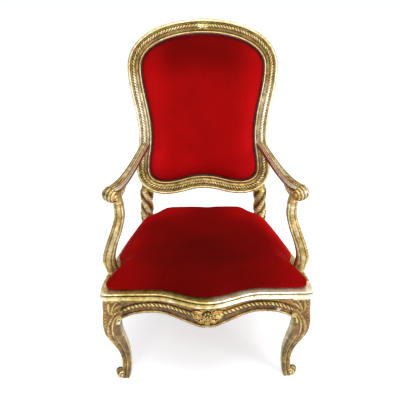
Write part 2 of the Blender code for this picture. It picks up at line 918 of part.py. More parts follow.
def leg_rows():
    """Rows: distance below the seat top, shift outwards, shift forwards, reach of the section, and how
    leg-like the section is."""
    block = LEG_BLOCK_HALF * math.sqrt(2)
    rows = [(down, 0.0, 0.0, block + out * math.sqrt(2), 0.0) for down, out in top_moulding()]
    for down, outwards, forwards, reach, blend in LEG_CURVE:
        rows.append(
            (
                down * SEAT_TOP,
                outwards * LEG_BLOCK_HALF,
                forwards * LEG_BLOCK_HALF,
                reach * LEG_BLOCK_HALF,
                blend,
            )
        )
    return rows


# Places round the leg, each as (along the diagonal, across it) for a square block and for the leg
LEG_SECTION = (
    ((0.88, 0.00), (1.00, 0.00)),
    ((0.80, 0.17), (0.90, 0.12)),
    ((0.62, 0.38), (0.66, 0.30)),
    ((0.50, 0.50), (0.46, 0.52)),
    ((0.12, 0.88), (0.16, 0.86)),
    ((0.00, 1.00), (0.06, 1.04)),
    ((-0.40, 0.60), (-0.62, 0.78)),
    ((-0.70, 0.30), (-0.98, 0.44)),
    ((-1.00, 0.00), (-1.10, 0.00)),
)


def leg_section_points(blend):
    """The whole section, the given half and its mirror image."""
    half = [
        (between(a[0], b[0], blend), between(a[1], b[1], blend)) for a, b in LEG_SECTION
    ]
    other = [(along, -across) for along, across in half[-2:0:-1]]
    return half + other


def front_leg(side, gold):
    diagonal = Vector((1, -1, 0)).normalized()
    sideways = Vector((1, 1, 0)).normalized()
    toe_turn = math.radians(25)
    middle = Vector((SEAT_HALF_WIDTH - LEG_BLOCK_HALF, LEG_BLOCK_HALF, 0))
    rings = []
    for below, outwards, forwards, reach, blend in leg_rows():
        centre = middle + Vector((outwards, -forwards, SEAT_TOP - below))
        ring = [
            centre + diagonal * (along * reach) + sideways * (across * reach)
            for along, across in leg_section_points(blend)
        ]
        inner = SEAT_HALF_WIDTH - 2 * LEG_BLOCK_HALF
        if blend < 0.3:
            # The faces that the rails meet stay flat
            ring = [Vector((max(p.x, inner), min(p.y, 2 * LEG_BLOCK_HALF), p.z)) for p in ring]
        rings.append(mirrored(ring, side))
    leg = loft("front_leg_" + SIDE_NAMES[side], rings, gold)
    toe = middle + Vector((-FOOT_SCROLL_IN, 0, FOOT_SCROLL_RADIUS + FOOT_SCROLL_LIFT))
    toe.x *= side
    drum = scroll(
        "toe", toe, (math.sin(toe_turn) * side, math.cos(toe_turn), 0),
        (math.cos(toe_turn) * side, -math.sin(toe_turn), 0),
        FOOT_SCROLL_RADIUS, FOOT_SCROLL_WIDTH, 0.1, 10, gold,
    )
    return fuse(leg, drum)


# Upholstery


def cushion_outline():
    """Half of the seat cushion's plan on the +X side, from the middle of the front to the middle of the
    back. It draws in round the arm support and round the post."""
    line = []
    front_end = SEAT_HALF_WIDTH - CUSHION_INSET
    for k in range(9):
        x = (front_end - CUSHION_CORNER) * k / 8
        line.append(Vector((x, CUSHION_INSET - bow(x))))
    for turn in (0.35, 0.70):
        angle = turn * math.pi / 2
        x = front_end - CUSHION_CORNER * (1 - math.sin(angle))
        line.append(Vector((x, CUSHION_INSET + CUSHION_CORNER * (1 - math.cos(angle)))))
    clear = SUPPORT_FOOT_X - SUPPORT_FOOT_WIDTH / 2 - CUSHION_CLEARANCE
    block = 2 * LEG_BLOCK_HALF
    for k in range(15):
        y = between(CUSHION_INSET + CUSHION_CORNER, SEAT_DEPTH - 4 * CUSHION_INSET, k / 14)
        rail = side_line(max((y - block) / (SEAT_DEPTH - block), 0.0)).x
        before = max(SUPPORT_FOOT_Y - SUPPORT_FOOT_DEPTH * 0.56 - y, 0.0)
        beyond = max(y - SUPPORT_FOOT_Y - SUPPORT_FOOT_DEPTH * 0.56, 0.0)
        line.append(Vector((min(rail - CUSHION_INSET, clear + 1.2 * before + 0.35 * beyond), y)))
    inside = POST_X - POST_WIDTH / 2 - 3 * CUSHION_CLEARANCE
    behind = SEAT_DEPTH + CUSHION_BEHIND_RAIL
    line.append(Vector((POST_X + CUSHION_INSET, SEAT_DEPTH - 3 * CUSHION_CLEARANCE)))
    line.append(Vector((inside, SEAT_DEPTH - CUSHION_CLEARANCE)))
    line.append(Vector((inside, SEAT_DEPTH + CUSHION_BEHIND_RAIL * 0.4)))
    line.append(Vector((inside - CUSHION_CORNER * 0.6, behind - CUSHION_CLEARANCE)))
    line.append(Vector((inside * 0.5, behind)))
    line.append(Vector((0.0, behind)))
    return line


def whole(half_line):
    """The half line and its mirror image as one closed line."""
    other = [Vector((-p.x, p.y)) for p in half_line[-2:0:-1]]
    return half_line + other


def crowned(name, outline, centre, rings, place, finish):
    """A closed pad: rings as (share of the width kept, share of the length kept, height), then a point in
    the middle. place(point, height) takes a plan point to the world."""
    count = len(outline)
    points = []
    for across, along, height in rings:
        for p in outline:
            kept = Vector(((p.x - centre.x) * across, (p.y - centre.y) * along))
            points.append(place(centre + kept, height))
    faces = [tuple(range(count))]
    for k in range(len(rings) - 1):
        for i in range(count):
            j = (i + 1) % count
            low, high = k * count, (k + 1) * count
            faces.append((low + i, low + j, high + j, high + i))
    last = (len(rings) - 1) * count
    points.append(place(centre, rings[-1][-1]))
    for i in range(count):
        faces.append((last + i, last + (i + 1) % count, len(points) - 1))
    return new_object(name, points, faces, finish)


def seat_cushion(velvet):
    shares = (
        (0.992, 0.992, 0.0),
        (1.000, 1.000, 0.14),
        (0.975, 0.985, 0.34),
        (0.935, 0.965, 0.58),
        (0.880, 0.930, 0.80),
        (0.790, 0.870, 0.94),
        (0.450, 0.500, 1.0),
    )
    rings = [(across, along, rise * CUSHION_CROWN) for across, along, rise in shares]
    centre = Vector((0.0, SEAT_DEPTH * 0.54))
    return crowned(
        "seat_cushion", whole(cushion_outline()), centre, rings,
        lambda p, h: Vector((p.x, p.y, SEAT_TOP + GAP + h)), velvet,
    )


def panel_outline(outline):
    """The line just inside the back frame, with its corners where the frame's own are."""
    inset = FRAME_WIDTH / 2 + PANEL_CLEARANCE
    joints = (-CREST_JOINT, *frame_joints(outline))
    line = []
    for start, end in zip(joints, joints[1:]):
        for s in frame_stations(start, end)[:-1]:
            line.append(outline.at(s) - outline.out(s) * inset)
    return line


def back_pad(outline, velvet):
    rim = -PANEL_SINK * FRAME_DEPTH
    rings = (
        (1.000, 1.000, rim - 0.7 * PANEL_THICKNESS),
        (1.000, 1.000, rim),
        (0.920, 0.920, rim + 0.62 * PANEL_CROWN),
        (0.620, 0.620, rim + PANEL_CROWN),
    )
    centre = Vector((0.0, between(DIP[1], CREST[1], 0.5)))
    return crowned(
        "back_pad", panel_outline(outline), centre, rings,
        lambda p, h: back_plane_point(p.x, p.y, h), velvet,
    )


def back_lining(outline, velvet):
    """The covered panel that closes the back from behind."""
    rear = LINING_SINK - FRAME_DEPTH
    rings = ((1.0, 1.0, rear), (1.0, 1.0, rear + LINING_THICKNESS))
    centre = Vector((0.0, between(DIP[1], CREST[1], 0.5)))
    return crowned(
        "back_lining", panel_outline(outline), centre, rings,
        lambda p, h: back_plane_point(p.x, p.y, h), velvet,
    )


SIDE_NAMES = {1: "right", -1: "left"}


def main():
    for obj in list(bpy.data.objects):
        bpy.data.objects.remove(obj)
    frame = bpy.data.objects.new("throne_frame", None)
    frame.location = (0, -CENTRE_Y, 0)
    bpy.context.scene.collection.objects.link(frame)

    gold = material("gilded_wood", (0.62, 0.44, 0.16), 0.38, 0.75)
    velvet = material("red_velvet", (0.42, 0.006, 0.008), 0.85, 0.0)
    outline = Outline()

    crest_rail(outline, gold)
    lower_back_rail(outline, gold)
    front_rail(gold)
    back_rail(gold)
    for side in SIDE_NAMES:
        back_leg(outline, side, gold)
        front_leg(side, gold)
        side_rail(side, gold)
        arm(side, gold)
        arm_support(side, gold)
    seat_cushion(velvet)
    back_pad(outline, velvet)
    back_lining(outline, velvet)


main()
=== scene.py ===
"""Looks of the gilded, carved armchair throne: its carving, worn gilding, velvet, floor, light and camera.

Metres, +Z up, the sitter faces -Y. Plan places are measured from the front corners of the seat, as the
solids are, and shifted by CENTRE_Y when a piece is made.
"""

import math

import bmesh
import bpy
import numpy as np
from mathutils import Euler, Matrix


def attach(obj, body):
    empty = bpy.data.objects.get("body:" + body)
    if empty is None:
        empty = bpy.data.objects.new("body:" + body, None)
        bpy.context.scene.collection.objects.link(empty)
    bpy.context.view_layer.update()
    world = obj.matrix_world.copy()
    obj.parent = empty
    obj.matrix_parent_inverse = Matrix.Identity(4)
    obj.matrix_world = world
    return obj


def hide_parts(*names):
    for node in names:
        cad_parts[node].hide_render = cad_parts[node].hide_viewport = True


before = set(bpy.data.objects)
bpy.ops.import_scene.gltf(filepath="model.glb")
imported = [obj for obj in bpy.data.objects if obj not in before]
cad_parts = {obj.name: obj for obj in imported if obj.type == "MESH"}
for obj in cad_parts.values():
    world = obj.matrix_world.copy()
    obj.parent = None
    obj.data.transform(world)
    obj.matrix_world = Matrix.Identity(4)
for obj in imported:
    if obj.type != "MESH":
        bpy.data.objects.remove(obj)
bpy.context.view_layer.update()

# The solids' own sizes
CENTRE_Y = 0.3074154
GAP = 0.0003
SEAT_HALF_WIDTH = 0.350
SEAT_TOP = 0.388
SEAT_DEPTH = 0.480
BOW_DEPTH = 0.051
BOW_HALF_WIDTH = 0.18
FRONT_RAIL_THICKNESS = 0.034
SIDE_RAIL_THICKNESS = 0.044
SIDE_RAIL_BOW = 0.010
SIDE_RAIL_HEIGHT = 0.078
SIDE_RAIL_SPRING = 0.020
BACK_RAIL_HEIGHT = 0.066
BACK_RAIL_SPRING = 0.014
BACK_RAIL_THICKNESS = 0.028
BACK_RAIL_INSET = 0.006
APRON_CENTRE = 0.102
APRON_ARCH = 0.080
APRON_SPRING = 0.106
APRON_ARCH_AT = 0.185
APRON_LOBE = 0.004
ROPE_ABOVE_EDGE = 0.033
ROPE_LIFT = 0.013
SEAT_ROPE_PITCH = 0.0135
FLOWER_RADIUS = 0.021
FLOWER_ABOVE_EDGE = 0.046
BLOCK = 0.030
TOE_RADIUS = 0.0165
TOE_WIDTH = 0.030
TOE_LIFT = 0.003
TOE_IN = 0.007
TOE_TURN = math.radians(25)

LEAN = math.radians(10.9)
SEAT_LINE = SEAT_TOP + 0.062
BACK_FACE_Y = SEAT_DEPTH + 0.016
FRAME_WIDTH = 0.050
FRAME_DEPTH = 0.040
FRAME_ROPE_PITCH = 0.0110
CREST_JOINT = 0.27
LOWER_JOINT = 0.175
POST_X = 0.2305
POST_WIDTH = 0.048
POST_DEPTH = 0.042
BACK_FOOT_RAKE = 0.105
BACK_FOOT_WIDTH = 0.032
TWIST_START = SEAT_TOP + 0.014
TWIST_HEIGHT = 0.118
TWIST_TURN = 1.15 * math.pi

SUPPORT_X = 0.322
SUPPORT_Y = 0.120
SUPPORT_TOP = 0.640
SUPPORT_FOOT = (0.038, 0.044)
NECK = (0.2955, 0.168)
NECK_SIZE = (0.034, 0.036)
ARM_SCROLL = (0.319, 0.160, 0.6735)
ARM_SCROLL_RADIUS = 0.0275
ARM_SCROLL_WIDTH = 0.050
ARM_SCROLL_RISE = 0.0335
ARM_TURN = math.radians(38)
ARM_ROOT_SIZE = (0.030, 0.036)
ARM_HEIGHT = 0.027
ARM_SAG = 0.013

SIDES = {"right": 1, "left": -1}


# Numbers


def smooth(low, high, x):
    """0 at low, 1 at high, with a soft start and end."""
    share = np.clip((np.asarray(x, float) - low) / (high - low), 0.0, 1.0)
    return share * share * (3 - 2 * share)


def mix(a, b, share):
    return a + (b - a) * share


def hill(x, centre, half):
    """1 at the centre, 0 from half away."""
    return 1 - smooth(0.0, half, np.abs(np.asarray(x, float) - centre))


def strand(phase, sharp=2.0):
    """A chain of rounded strands, 1 along the top of each and 0 in the cut between two."""
    across = 2 * (phase - np.floor(phase)) - 1
    return (1 - np.abs(across) ** sharp) ** (1 / sharp)


def softened(rows, times=2):
    """An open line with its corners cut; the ends stay."""
    rows = np.asarray(rows, float)
    for _ in range(times):
        near = 0.75 * rows[:-1] + 0.25 * rows[1:]
        far = 0.25 * rows[:-1] + 0.75 * rows[1:]
        inner = np.stack([near, far], 1).reshape(-1, rows.shape[1])
        rows = np.concatenate([rows[:1], inner[1:-1], rows[-1:]])
    return rows


def softened_ring(rows, times=2):
    rows = np.asarray(rows, float)
    for _ in range(times):
        after = np.roll(rows, -1, 0)
        rows = np.stack([0.75 * rows + 0.25 * after, 0.25 * rows + 0.75 * after], 1)
        rows = rows.reshape(-1, rows.shape[-1])
    return rows


def evened(rows, count, ring=False):
    """The same line with evenly spaced points."""
    rows = np.asarray(rows, float)
    if ring:
        rows = np.concatenate([rows, rows[:1]])
    steps = np.linalg.norm(np.diff(rows, axis=0), axis=1)
    length = np.concatenate([[0], np.cumsum(steps)])
    at = np.linspace(0, length[-1], count + 1 if ring else count)
    if ring:
        at = at[:-1]
    return np.stack([np.interp(at, length, rows[:, k]) for k in range(rows.shape[1])], 1)


def stations(start, end, step):
    return np.linspace(start, end, max(2, int(round(abs(end - start) / step)) + 1))


def bezier(a, b, c, d, share):
    share = np.asarray(share, float)[:, None]
    rest = 1 - share
    return a * rest**3 + b * 3 * rest**2 * share + c * 3 * rest * share**2 + d * share**3


def unit(vectors):
    return vectors / np.linalg.norm(vectors, axis=-1, keepdims=True)


def read_curve(table, at):
    """A smooth curve through the rows of a table, without level stretches at the rows."""
    table = np.asarray(table, float)
    x, values = table[:, 0], table[:, 1:]
    slope = np.gradient(values, x, axis=0)
    at = np.clip(np.asarray(at, float), x[0], x[-1])
    low = np.clip(np.searchsorted(x, at, side="right") - 1, 0, len(x) - 2)
    span = (x[low + 1] - x[low])[:, None]
    t = (at - x[low])[:, None] / span
    h00, h10 = 2 * t**3 - 3 * t**2 + 1, t**3 - 2 * t**2 + t
    h01, h11 = -2 * t**3 + 3 * t**2, t**3 - t**2
    return (
        h00 * values[low] + h10 * span * slope[low] + h01 * values[low + 1] + h11 * span * slope[low + 1]
    )


def net(x, y, z):
    """Points from coordinates that fit one shape together."""
    return np.stack(np.broadcast_arrays(x, y, z), -1)


def mirrored(place, side):
    """A surface's place, drawn for +X, on either side."""
    return lambda x, y, h: place(side * x, y, h)


# Pieces


# Chips down to the white ground: place measured like the plan, and reach
CHIPS = [
    (-0.1195, -0.022, 0.3658, 0.0085), (-0.0307, -0.054, 0.3660, 0.0070), (0.2332, -0.008, 0.3700, 0.0095),
    (0.2441, -0.002, 0.3135, 0.0060), (-0.2975, 0.004, 0.2682, 0.0085), (-0.0546, 0.6345, 1.1700, 0.0080),
    (-0.3180, 0.158, 0.6900, 0.0060), (0.3380, 0.140, 0.6850, 0.0070), (0.3400, 0.020, 0.2300, 0.0050),
]
CHIP_STRETCH = (0.7, 0.6, 1.6)
# The waves of a chip's broken edge: direction and rate, and how deep they cut
CHIP_EDGE = (((900, 700, 1300), 0.3), ((-1700, 900, 600), 0.2))
SHARP_EDGE = math.radians(50)


def chipped(points):
    """1 where a chip bares the ground."""
    bare = np.zeros(len(points))
    for x, y, z, reach in CHIPS:
        far = points - np.array([x, y, z])
        ragged = 1 + sum(deep * np.sin(far @ np.array(way)) for way, deep in CHIP_EDGE)
        size = np.linalg.norm(far * CHIP_STRETCH, axis=1) / reach * ragged
        bare = np.maximum(bare, 1 - smooth(0.8, 1.0, size))
    return bare


class Skin:
    """The points and faces of one piece. relief: 0 in a hollow, 1 on a ridge; the gilding paints shade into the
    hollows and highlights onto the ridges from it. tint: -1 where the gilding is pale, from wear and from
    painted highlights, 1 where it turns red-brown, from the clay under it and from painted shade and painted
    reflection of the red velvet."""

    def __init__(self):
        self.points, self.relief, self.tint, self.faces, self.count = [], [], [], [], 0

    def sheet(self, points, relief, tint=0.0, ring=False, ends=False, ring_along=False):
        """A net of points (along, across). ring joins its two long edges, ends closes its first and last
        rows with a face, ring_along joins the first row to the last."""
        points = np.asarray(points, float)
        rows, columns = points.shape[:2]
        index = np.arange(rows * columns).reshape(rows, columns) + self.count
        if ring:
            grid = np.concatenate([index, index[:, :1]], 1)
        else:
            grid = np.concatenate([index, index[:1]], 0) if ring_along else index
        quads = np.stack([grid[:-1, :-1], grid[:-1, 1:], grid[1:, 1:], grid[1:, :-1]], -1)
        self.faces += quads.reshape(-1, 4).tolist()
        if ends:
            self.faces += [index[0].tolist(), index[-1].tolist()]
        self.points.append(points.reshape(-1, 3))
        for kept, value in ((self.relief, relief), (self.tint, tint)):
            kept.append(np.broadcast_to(np.asarray(value, float), (rows, columns)).reshape(-1))
        self.count += rows * columns

    def piece(self, name, material, slot, node):
        points = np.concatenate(self.points)
        mesh = bpy.data.meshes.new(name)
        mesh.from_pydata((points - np.array([0, CENTRE_Y, 0])).tolist(), [], self.faces)
        relief, tint = np.concatenate(self.relief), np.concatenate(self.tint)
        for word, value in (("relief", relief), ("tint", tint), ("chip", chipped(points))):
            mesh.attributes.new(word, "FLOAT", "POINT").data.foreach_set("value", value)
        cleaner = bmesh.new()
        cleaner.from_mesh(mesh)
        bmesh.ops.recalc_face_normals(cleaner, faces=cleaner.faces)
        cleaner.to_mesh(mesh)
        cleaner.free()
        mesh.materials.append(material)
        mesh.shade_smooth()
        mesh.set_sharp_from_angle(angle=SHARP_EDGE)
        obj = bpy.data.objects.new(name, mesh)
        bpy.context.scene.collection.objects.link(obj)
        declare(obj, node)


def declare(obj, node):
    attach(obj, "root")
    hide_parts(node)


def gild(skin, name, node):
    skin.piece(name, gold, "gilded_wood", node)


def gild_pair(draw, node):
    """A carved piece on each side; draw(skin, side) draws it."""
    for word, side in SIDES.items():
        skin = Skin()
        draw(skin, side)
        gild(skin, f"{node}_carving_{word}", f"{node}_{word}")


def sided(points, side):
    return np.asarray(points, float) * np.array([side, 1, 1])


def leaf_width(u, lobes, cut):
    """The outline of a carved leaf along its length u, from stalk to tip, with scalloped edges."""
    body = np.sin(math.pi * np.clip(u, 0, 1) ** 0.75) ** 0.6
    return body * (1 - cut * (1 - strand(u * lobes)) * hill(u, 0.45, 0.62))


def leaf(skin, place, start, heading, length, width, height, lobes=5, bend=0.0, curl=0.0, cut=0.45, tint=0.0):
    """A carved leaf that lies on a surface. place(x, y, h) takes a point of the surface's own plane, h
    out of it. The leaf starts at start, heading that way (in degrees) and turning by bend on its way;
    curl lifts its tip."""
    along = np.linspace(0, 1, max(18, int(length / 0.0011)))
    turn = np.radians(heading) + np.radians(bend) * along
    step = length / (len(along) - 1)
    x = start[0] + np.concatenate([[0], np.cumsum(np.cos(turn[:-1]) * step)])
    y = start[1] + np.concatenate([[0], np.cumsum(np.sin(turn[:-1]) * step)])
    across = np.linspace(-1, 1, 17)
    u, v = np.meshgrid(along, across, indexing="ij")
    reach = 0.5 * width * (0.04 + leaf_width(along, lobes, cut))[:, None]
    x = x[:, None] - np.sin(turn)[:, None] * v * reach
    y = y[:, None] + np.cos(turn)[:, None] * v * reach
    edge = (1 - np.abs(v) ** 3) ** 0.5
    vein = 1 - 0.55 * np.exp(-((v / 0.16) ** 2))
    ribs = 0.72 + 0.28 * strand(u * lobes - 0.55 * np.abs(v))
    body = edge * vein * ribs * (0.35 + 0.65 * np.sin(math.pi * np.clip(u * 0.9 + 0.08, 0, 1)) ** 0.5)
    h = height * body + curl * smooth(0.55, 1.0, u) - 0.0012 * (np.abs(v) > 0.99)
    skin.sheet(place(x, y, h), 0.10 + 0.9 * body, tint)


def vine(skin, place, line, radius, relief=0.9, tint=0.0):
    """A half-round stem with tapering ends along a line of a surface's own plane."""
    line = evened(softened(line, 3), 40)
    tangent = unit(np.gradient(line, axis=0))
    normal = np.stack([-tangent[:, 1], tangent[:, 0]], 1)
    taper = np.sin(np.linspace(0.12, 0.92, len(line)) * math.pi) ** 0.5
    turn = np.linspace(-0.15, math.pi + 0.15, 9)
    aside = np.cos(turn)[None, :, None] * radius * taper[:, None, None]
    flat = line[:, None, :] + normal[:, None, :] * aside
    lift = np.sin(turn)[None, :] * radius * taper[:, None]
    worth = relief * (0.1 + 0.9 * np.sin(turn).clip(0, 1))[None, :]
    skin.sheet(place(flat[..., 0], flat[..., 1], lift), worth, tint)


def curl_line(centre, radius, start, turns, shrink=0.25, count=22):
    """A spiral line, from its outside in; angles in degrees."""
    share = np.linspace(0, 1, count)
    turn = np.radians(start + 360 * turns * share)
    reach = radius * mix(1.0, shrink, share)
    return np.stack([centre[0] + reach * np.cos(turn), centre[1] + reach * np.sin(turn)], 1)


def dome(skin, place, centre, radius, height, petals=0, dent=0.25, relief=1.0, tint=0.0):
    """A boss, or a flower with petals round a boss, on a surface."""
    turn = np.linspace(0, 2 * math.pi, 72, endpoint=False)
    share = np.linspace(0, 1, 22)
    s, t = np.meshgrid(share, turn, indexing="ij")
    if petals:
        lobe = strand(t * petals / (2 * math.pi))
        edge = radius * (1 - dent * (1 - lobe))
        rim = np.sin(math.pi * np.clip((s - 0.28) / 0.72, 0, 1)) ** 0.6 * (0.35 + 0.65 * lobe)
        boss = np.sqrt(np.clip(1 - (s / 0.27) ** 2, 0, 1))
        h = height * np.maximum(0.72 * rim, boss) + height * 0.1
        worth = np.maximum(rim * (0.25 + 0.75 * lobe), boss)
    else:
        edge = radius
        h = height * np.sqrt(np.clip(1 - s**2, 0, 1))
        worth = 0.35 + 0.65 * np.sqrt(np.clip(1 - s**2, 0, 1))
    h = np.where(s > 0.99, -0.0015, h)
    points = place(centre[0] + s * edge * np.cos(t), centre[1] + s * edge * np.sin(t), h)
    skin.sheet(points, relief * worth, tint, ring=True)


def spiral_drum(skin, centre, axis, front, radius, width, winding, flutes, side, barrel=0.0, tints=(0.0, 0.0)):
    """A scroll: the edge winds in from the top over to the front, and each end has a spiral and an eye.
    barrel narrows its rim towards both ends; tints are those of its ends and of its rim."""
    axis, front, up = (np.array(v, float) for v in (axis, front, (0, 0, 1)))
    turn = np.linspace(0, 2 * math.pi, 100, endpoint=False)
    # Half of the section from the middle of one end to the rim: share of the radius, share of the width
    half = [
        (0.02, 0.60), (0.15, 0.60), (0.27, 0.57), (0.33, 0.46), (0.42, 0.44), (0.58, 0.50), (0.74, 0.50),
        (0.86, 0.44), (0.97, 0.42), (1.0, 0.36),
    ]
    half = evened(softened(half, 2), 34)
    rim = np.stack([np.ones(33), np.linspace(0.36, -0.36, 35)[1:-1]], 1)
    section = np.concatenate([half, rim, half[::-1] * [1, -1]])
    share, along = section[:, 0], section[:, 1]
    s, t = np.meshgrid(share, turn, indexing="xy")
    a = np.broadcast_to(along, s.shape)
    on_rim = smooth(0.90, 0.99, s)
    coil = strand(1.6 * (1 - s) + t / (2 * math.pi), 1.8)
    on_face = hill(s, 0.62, 0.34)
    fan = a * (1 + 0.35 * smooth(0.9, 3.4, t)) / 0.86
    rib = strand(flutes * fan + 0.5, 1.5)
    lobe = strand(t / (2 * math.pi) * 9 + 0.5 * rib, 2.0)
    reach = radius * s * (1 - winding * t / (2 * math.pi))
    reach = reach * (1 - barrel * (a / 0.47) ** 2 * smooth(0.3, 1.0, s))
    reach = reach - on_rim * radius * ((1 - rib) * 0.15 + (1 - lobe) * 0.05)
    side_lift = np.sign(a) * on_face * (coil - 0.6) * 0.075 * width
    points = (
        np.array(centre)
        + axis * (a * width + side_lift)[..., None]
        + up * (reach * np.cos(t))[..., None]
        + front * (reach * np.sin(t))[..., None]
    )
    worth = np.where(s < 0.29, 0.95, 0.05 + 0.9 * coil)
    worth = np.where(s > 0.9, 0.85 * rib ** 1.5 * (0.5 + 0.5 * lobe), worth)
    tint = mix(tints[0], tints[1], smooth(0.82, 0.97, s))
    skin.sheet(sided(points, side), worth, tint, ring_along=True)


# Gilding, velvet and cloth


def principled(name):
    made = bpy.data.materials.new(name)
    made.use_nodes = True
    return made, made.node_tree, made.node_tree.nodes["Principled BSDF"]


def link(tree, source, target):
    tree.links.new(source, target)


def ramp(tree, source, stops):
    made = tree.nodes.new("ShaderNodeValToRGB")
    elements = made.color_ramp.elements
    while len(elements) < len(stops):
        elements.new(0.5)
    for element, (place, colour) in zip(elements, stops):
        element.position = place
        element.color = (*colour, 1) if len(colour) == 3 else colour
    link(tree, source, made.inputs["Fac"])
    return made.outputs["Color"]


def mask(tree, source, low, high):
    return ramp(tree, source, [(low, (0, 0, 0)), (high, (1, 1, 1))])


def noise(tree, scale, detail=4.0, rough=0.55, stretch=None, offset=0.0):
    place = tree.nodes.new("ShaderNodeTexCoord").outputs["Object"]
    if stretch or offset:
        mapping = tree.nodes.new("ShaderNodeMapping")
        mapping.inputs["Scale"].default_value = stretch or (1, 1, 1)
        mapping.inputs["Location"].default_value = (offset, offset * 0.7, offset * 1.3)
        link(tree, place, mapping.inputs["Vector"])
        place = mapping.outputs["Vector"]
    made = tree.nodes.new("ShaderNodeTexNoise")
    made.inputs["Scale"].default_value = scale
    made.inputs["Detail"].default_value = detail
    made.inputs["Roughness"].default_value = rough
    link(tree, place, made.inputs["Vector"])
    return made.outputs["Fac"]


def calc(tree, operation, a, b=None, c=None, clamp=False):
    made = tree.nodes.new("ShaderNodeMath")
    made.operation = operation
    made.use_clamp = clamp
    for socket, value in zip(made.inputs, (a, b, c)):
        if value is None:
            continue
        if isinstance(value, (int, float)):
            socket.default_value = value
        else:
            link(tree, value, socket)
    return made.outputs[0]


def blend(tree, factor, a, b, kind="MIX"):
    made = tree.nodes.new("ShaderNodeMix")
    made.data_type = "RGBA"
    made.blend_type = kind
    sockets = [s for s in made.inputs if s.enabled]
    for name, value in (("Factor", factor), ("A", a), ("B", b)):
        kinds = ("VALUE",) if name == "Factor" else ("RGBA",)
        socket = next(s for s in sockets if s.name == name and s.type in kinds)
        if isinstance(value, (int, float)):
            socket.default_value = value
        elif isinstance(value, tuple):
            socket.default_value = (*value, 1)
        else:
            link(tree, value, socket)
    return next(s for s in made.outputs if s.enabled)


def attribute(tree, word):
    made = tree.nodes.new("ShaderNodeAttribute")
    made.attribute_name = word
    return made.outputs["Fac"]


def centred(tree, source, size):
    """A noise value taken to -size/2 to size/2."""
    return calc(tree, "MULTIPLY", calc(tree, "SUBTRACT", source, 0.5), size)


def weighed(tree, a, share, b):
    """share of a and the rest of b."""
    return calc(tree, "ADD", calc(tree, "MULTIPLY", a, share), calc(tree, "MULTIPLY", b, round(1 - share, 6)))


def bump(tree, shader, height, strength, distance):
    made = tree.nodes.new("ShaderNodeBump")
    made.inputs["Strength"].default_value = strength
    made.inputs["Distance"].default_value = distance
    link(tree, height, made.inputs["Height"])
    link(tree, made.outputs["Normal"], shader.inputs["Normal"])


def gilding(name):
    """Old leaf gilding: painted highlights on the ridges, painted shade and dirt in the cuts, rubbed through in
    places.
    """
    made, tree, shader = principled(name)
    relief, tint = attribute(tree, "relief"), attribute(tree, "tint")
    cloud = noise(tree, 13, 5, 0.6)
    grime = noise(tree, 62, 5, 0.68, offset=3.0)
    speck = noise(tree, 210, 3, 0.6, offset=5.0)
    # The tone: relief paints shade into the cuts and highlights onto the ridges; the noises add dirt and uneven
    # wear.
    height = calc(tree, "ADD", calc(tree, "MULTIPLY", relief, 0.90), centred(tree, grime, 1.15))
    height = calc(tree, "ADD", height, centred(tree, cloud, 0.55))
    height = calc(tree, "ADD", height, centred(tree, speck, 0.55), clamp=True)
    leaf_gold = ramp(tree, height, [
        (0.00, (0.034, 0.016, 0.004)),
        (0.20, (0.115, 0.062, 0.014)),
        (0.45, (0.330, 0.210, 0.058)),
        (0.70, (0.560, 0.410, 0.165)),
        (0.88, (0.760, 0.630, 0.370)),
        (1.00, (0.880, 0.800, 0.600)),
    ])
    pale_gold = ramp(tree, height, [
        (0.00, (0.120, 0.085, 0.040)),
        (0.30, (0.480, 0.400, 0.240)),
        (0.62, (0.820, 0.750, 0.540)),
        (1.00, (0.950, 0.920, 0.800)),
    ])
    clay = ramp(tree, height, [
        (0.00, (0.055, 0.017, 0.004)),
        (0.35, (0.230, 0.092, 0.020)),
        (0.70, (0.480, 0.240, 0.060)),
        (1.00, (0.740, 0.480, 0.190)),
    ])
    olive = mask(tree, noise(tree, 8, 3, 0.5, offset=14.0), 0.45, 0.65)
    colour = blend(tree, calc(tree, "MULTIPLY", olive, 0.55), leaf_gold, (0.86, 1.0, 0.62), "MULTIPLY")
    # The tint and random patches pick clay, for bared bole and for painted red-brown shade and reflection, and
    # pale gold, for wear and for painted highlights.
    patches = centred(tree, noise(tree, 24, 5, 0.7, offset=9.0), 1.9)
    lean = calc(tree, "ADD", tint, patches)
    colour = blend(tree, mask(tree, lean, 0.22, 0.95), colour, clay)
    pale = calc(tree, "MULTIPLY", lean, -1.0)
    colour = blend(tree, mask(tree, pale, 0.25, 0.95), colour, pale_gold)
    chips = mask(tree, noise(tree, 88, 3, 0.5, offset=21.0), 0.715, 0.735)
    chips = calc(tree, "MULTIPLY", chips, mask(tree, relief, 0.55, 0.8))
    chips = calc(tree, "MAXIMUM", chips, attribute(tree, "chip"))
    colour = blend(tree, chips, colour, (0.80, 0.77, 0.71))
    link(tree, colour, shader.inputs["Base Color"])
    metal = ramp(tree, height, [(0.15, (0.30, 0.30, 0.30)), (0.7, (0.78, 0.78, 0.78))])
    metal = calc(tree, "MULTIPLY", metal, calc(tree, "SUBTRACT", 1.0, chips))
    link(tree, metal, shader.inputs["Metallic"])
    link(tree, calc(tree, "MULTIPLY_ADD", grime, 0.34, 0.20, clamp=True), shader.inputs["Roughness"])
    bump(tree, shader, weighed(tree, grime, 0.7, speck), 0.6, 0.0020)
    return made


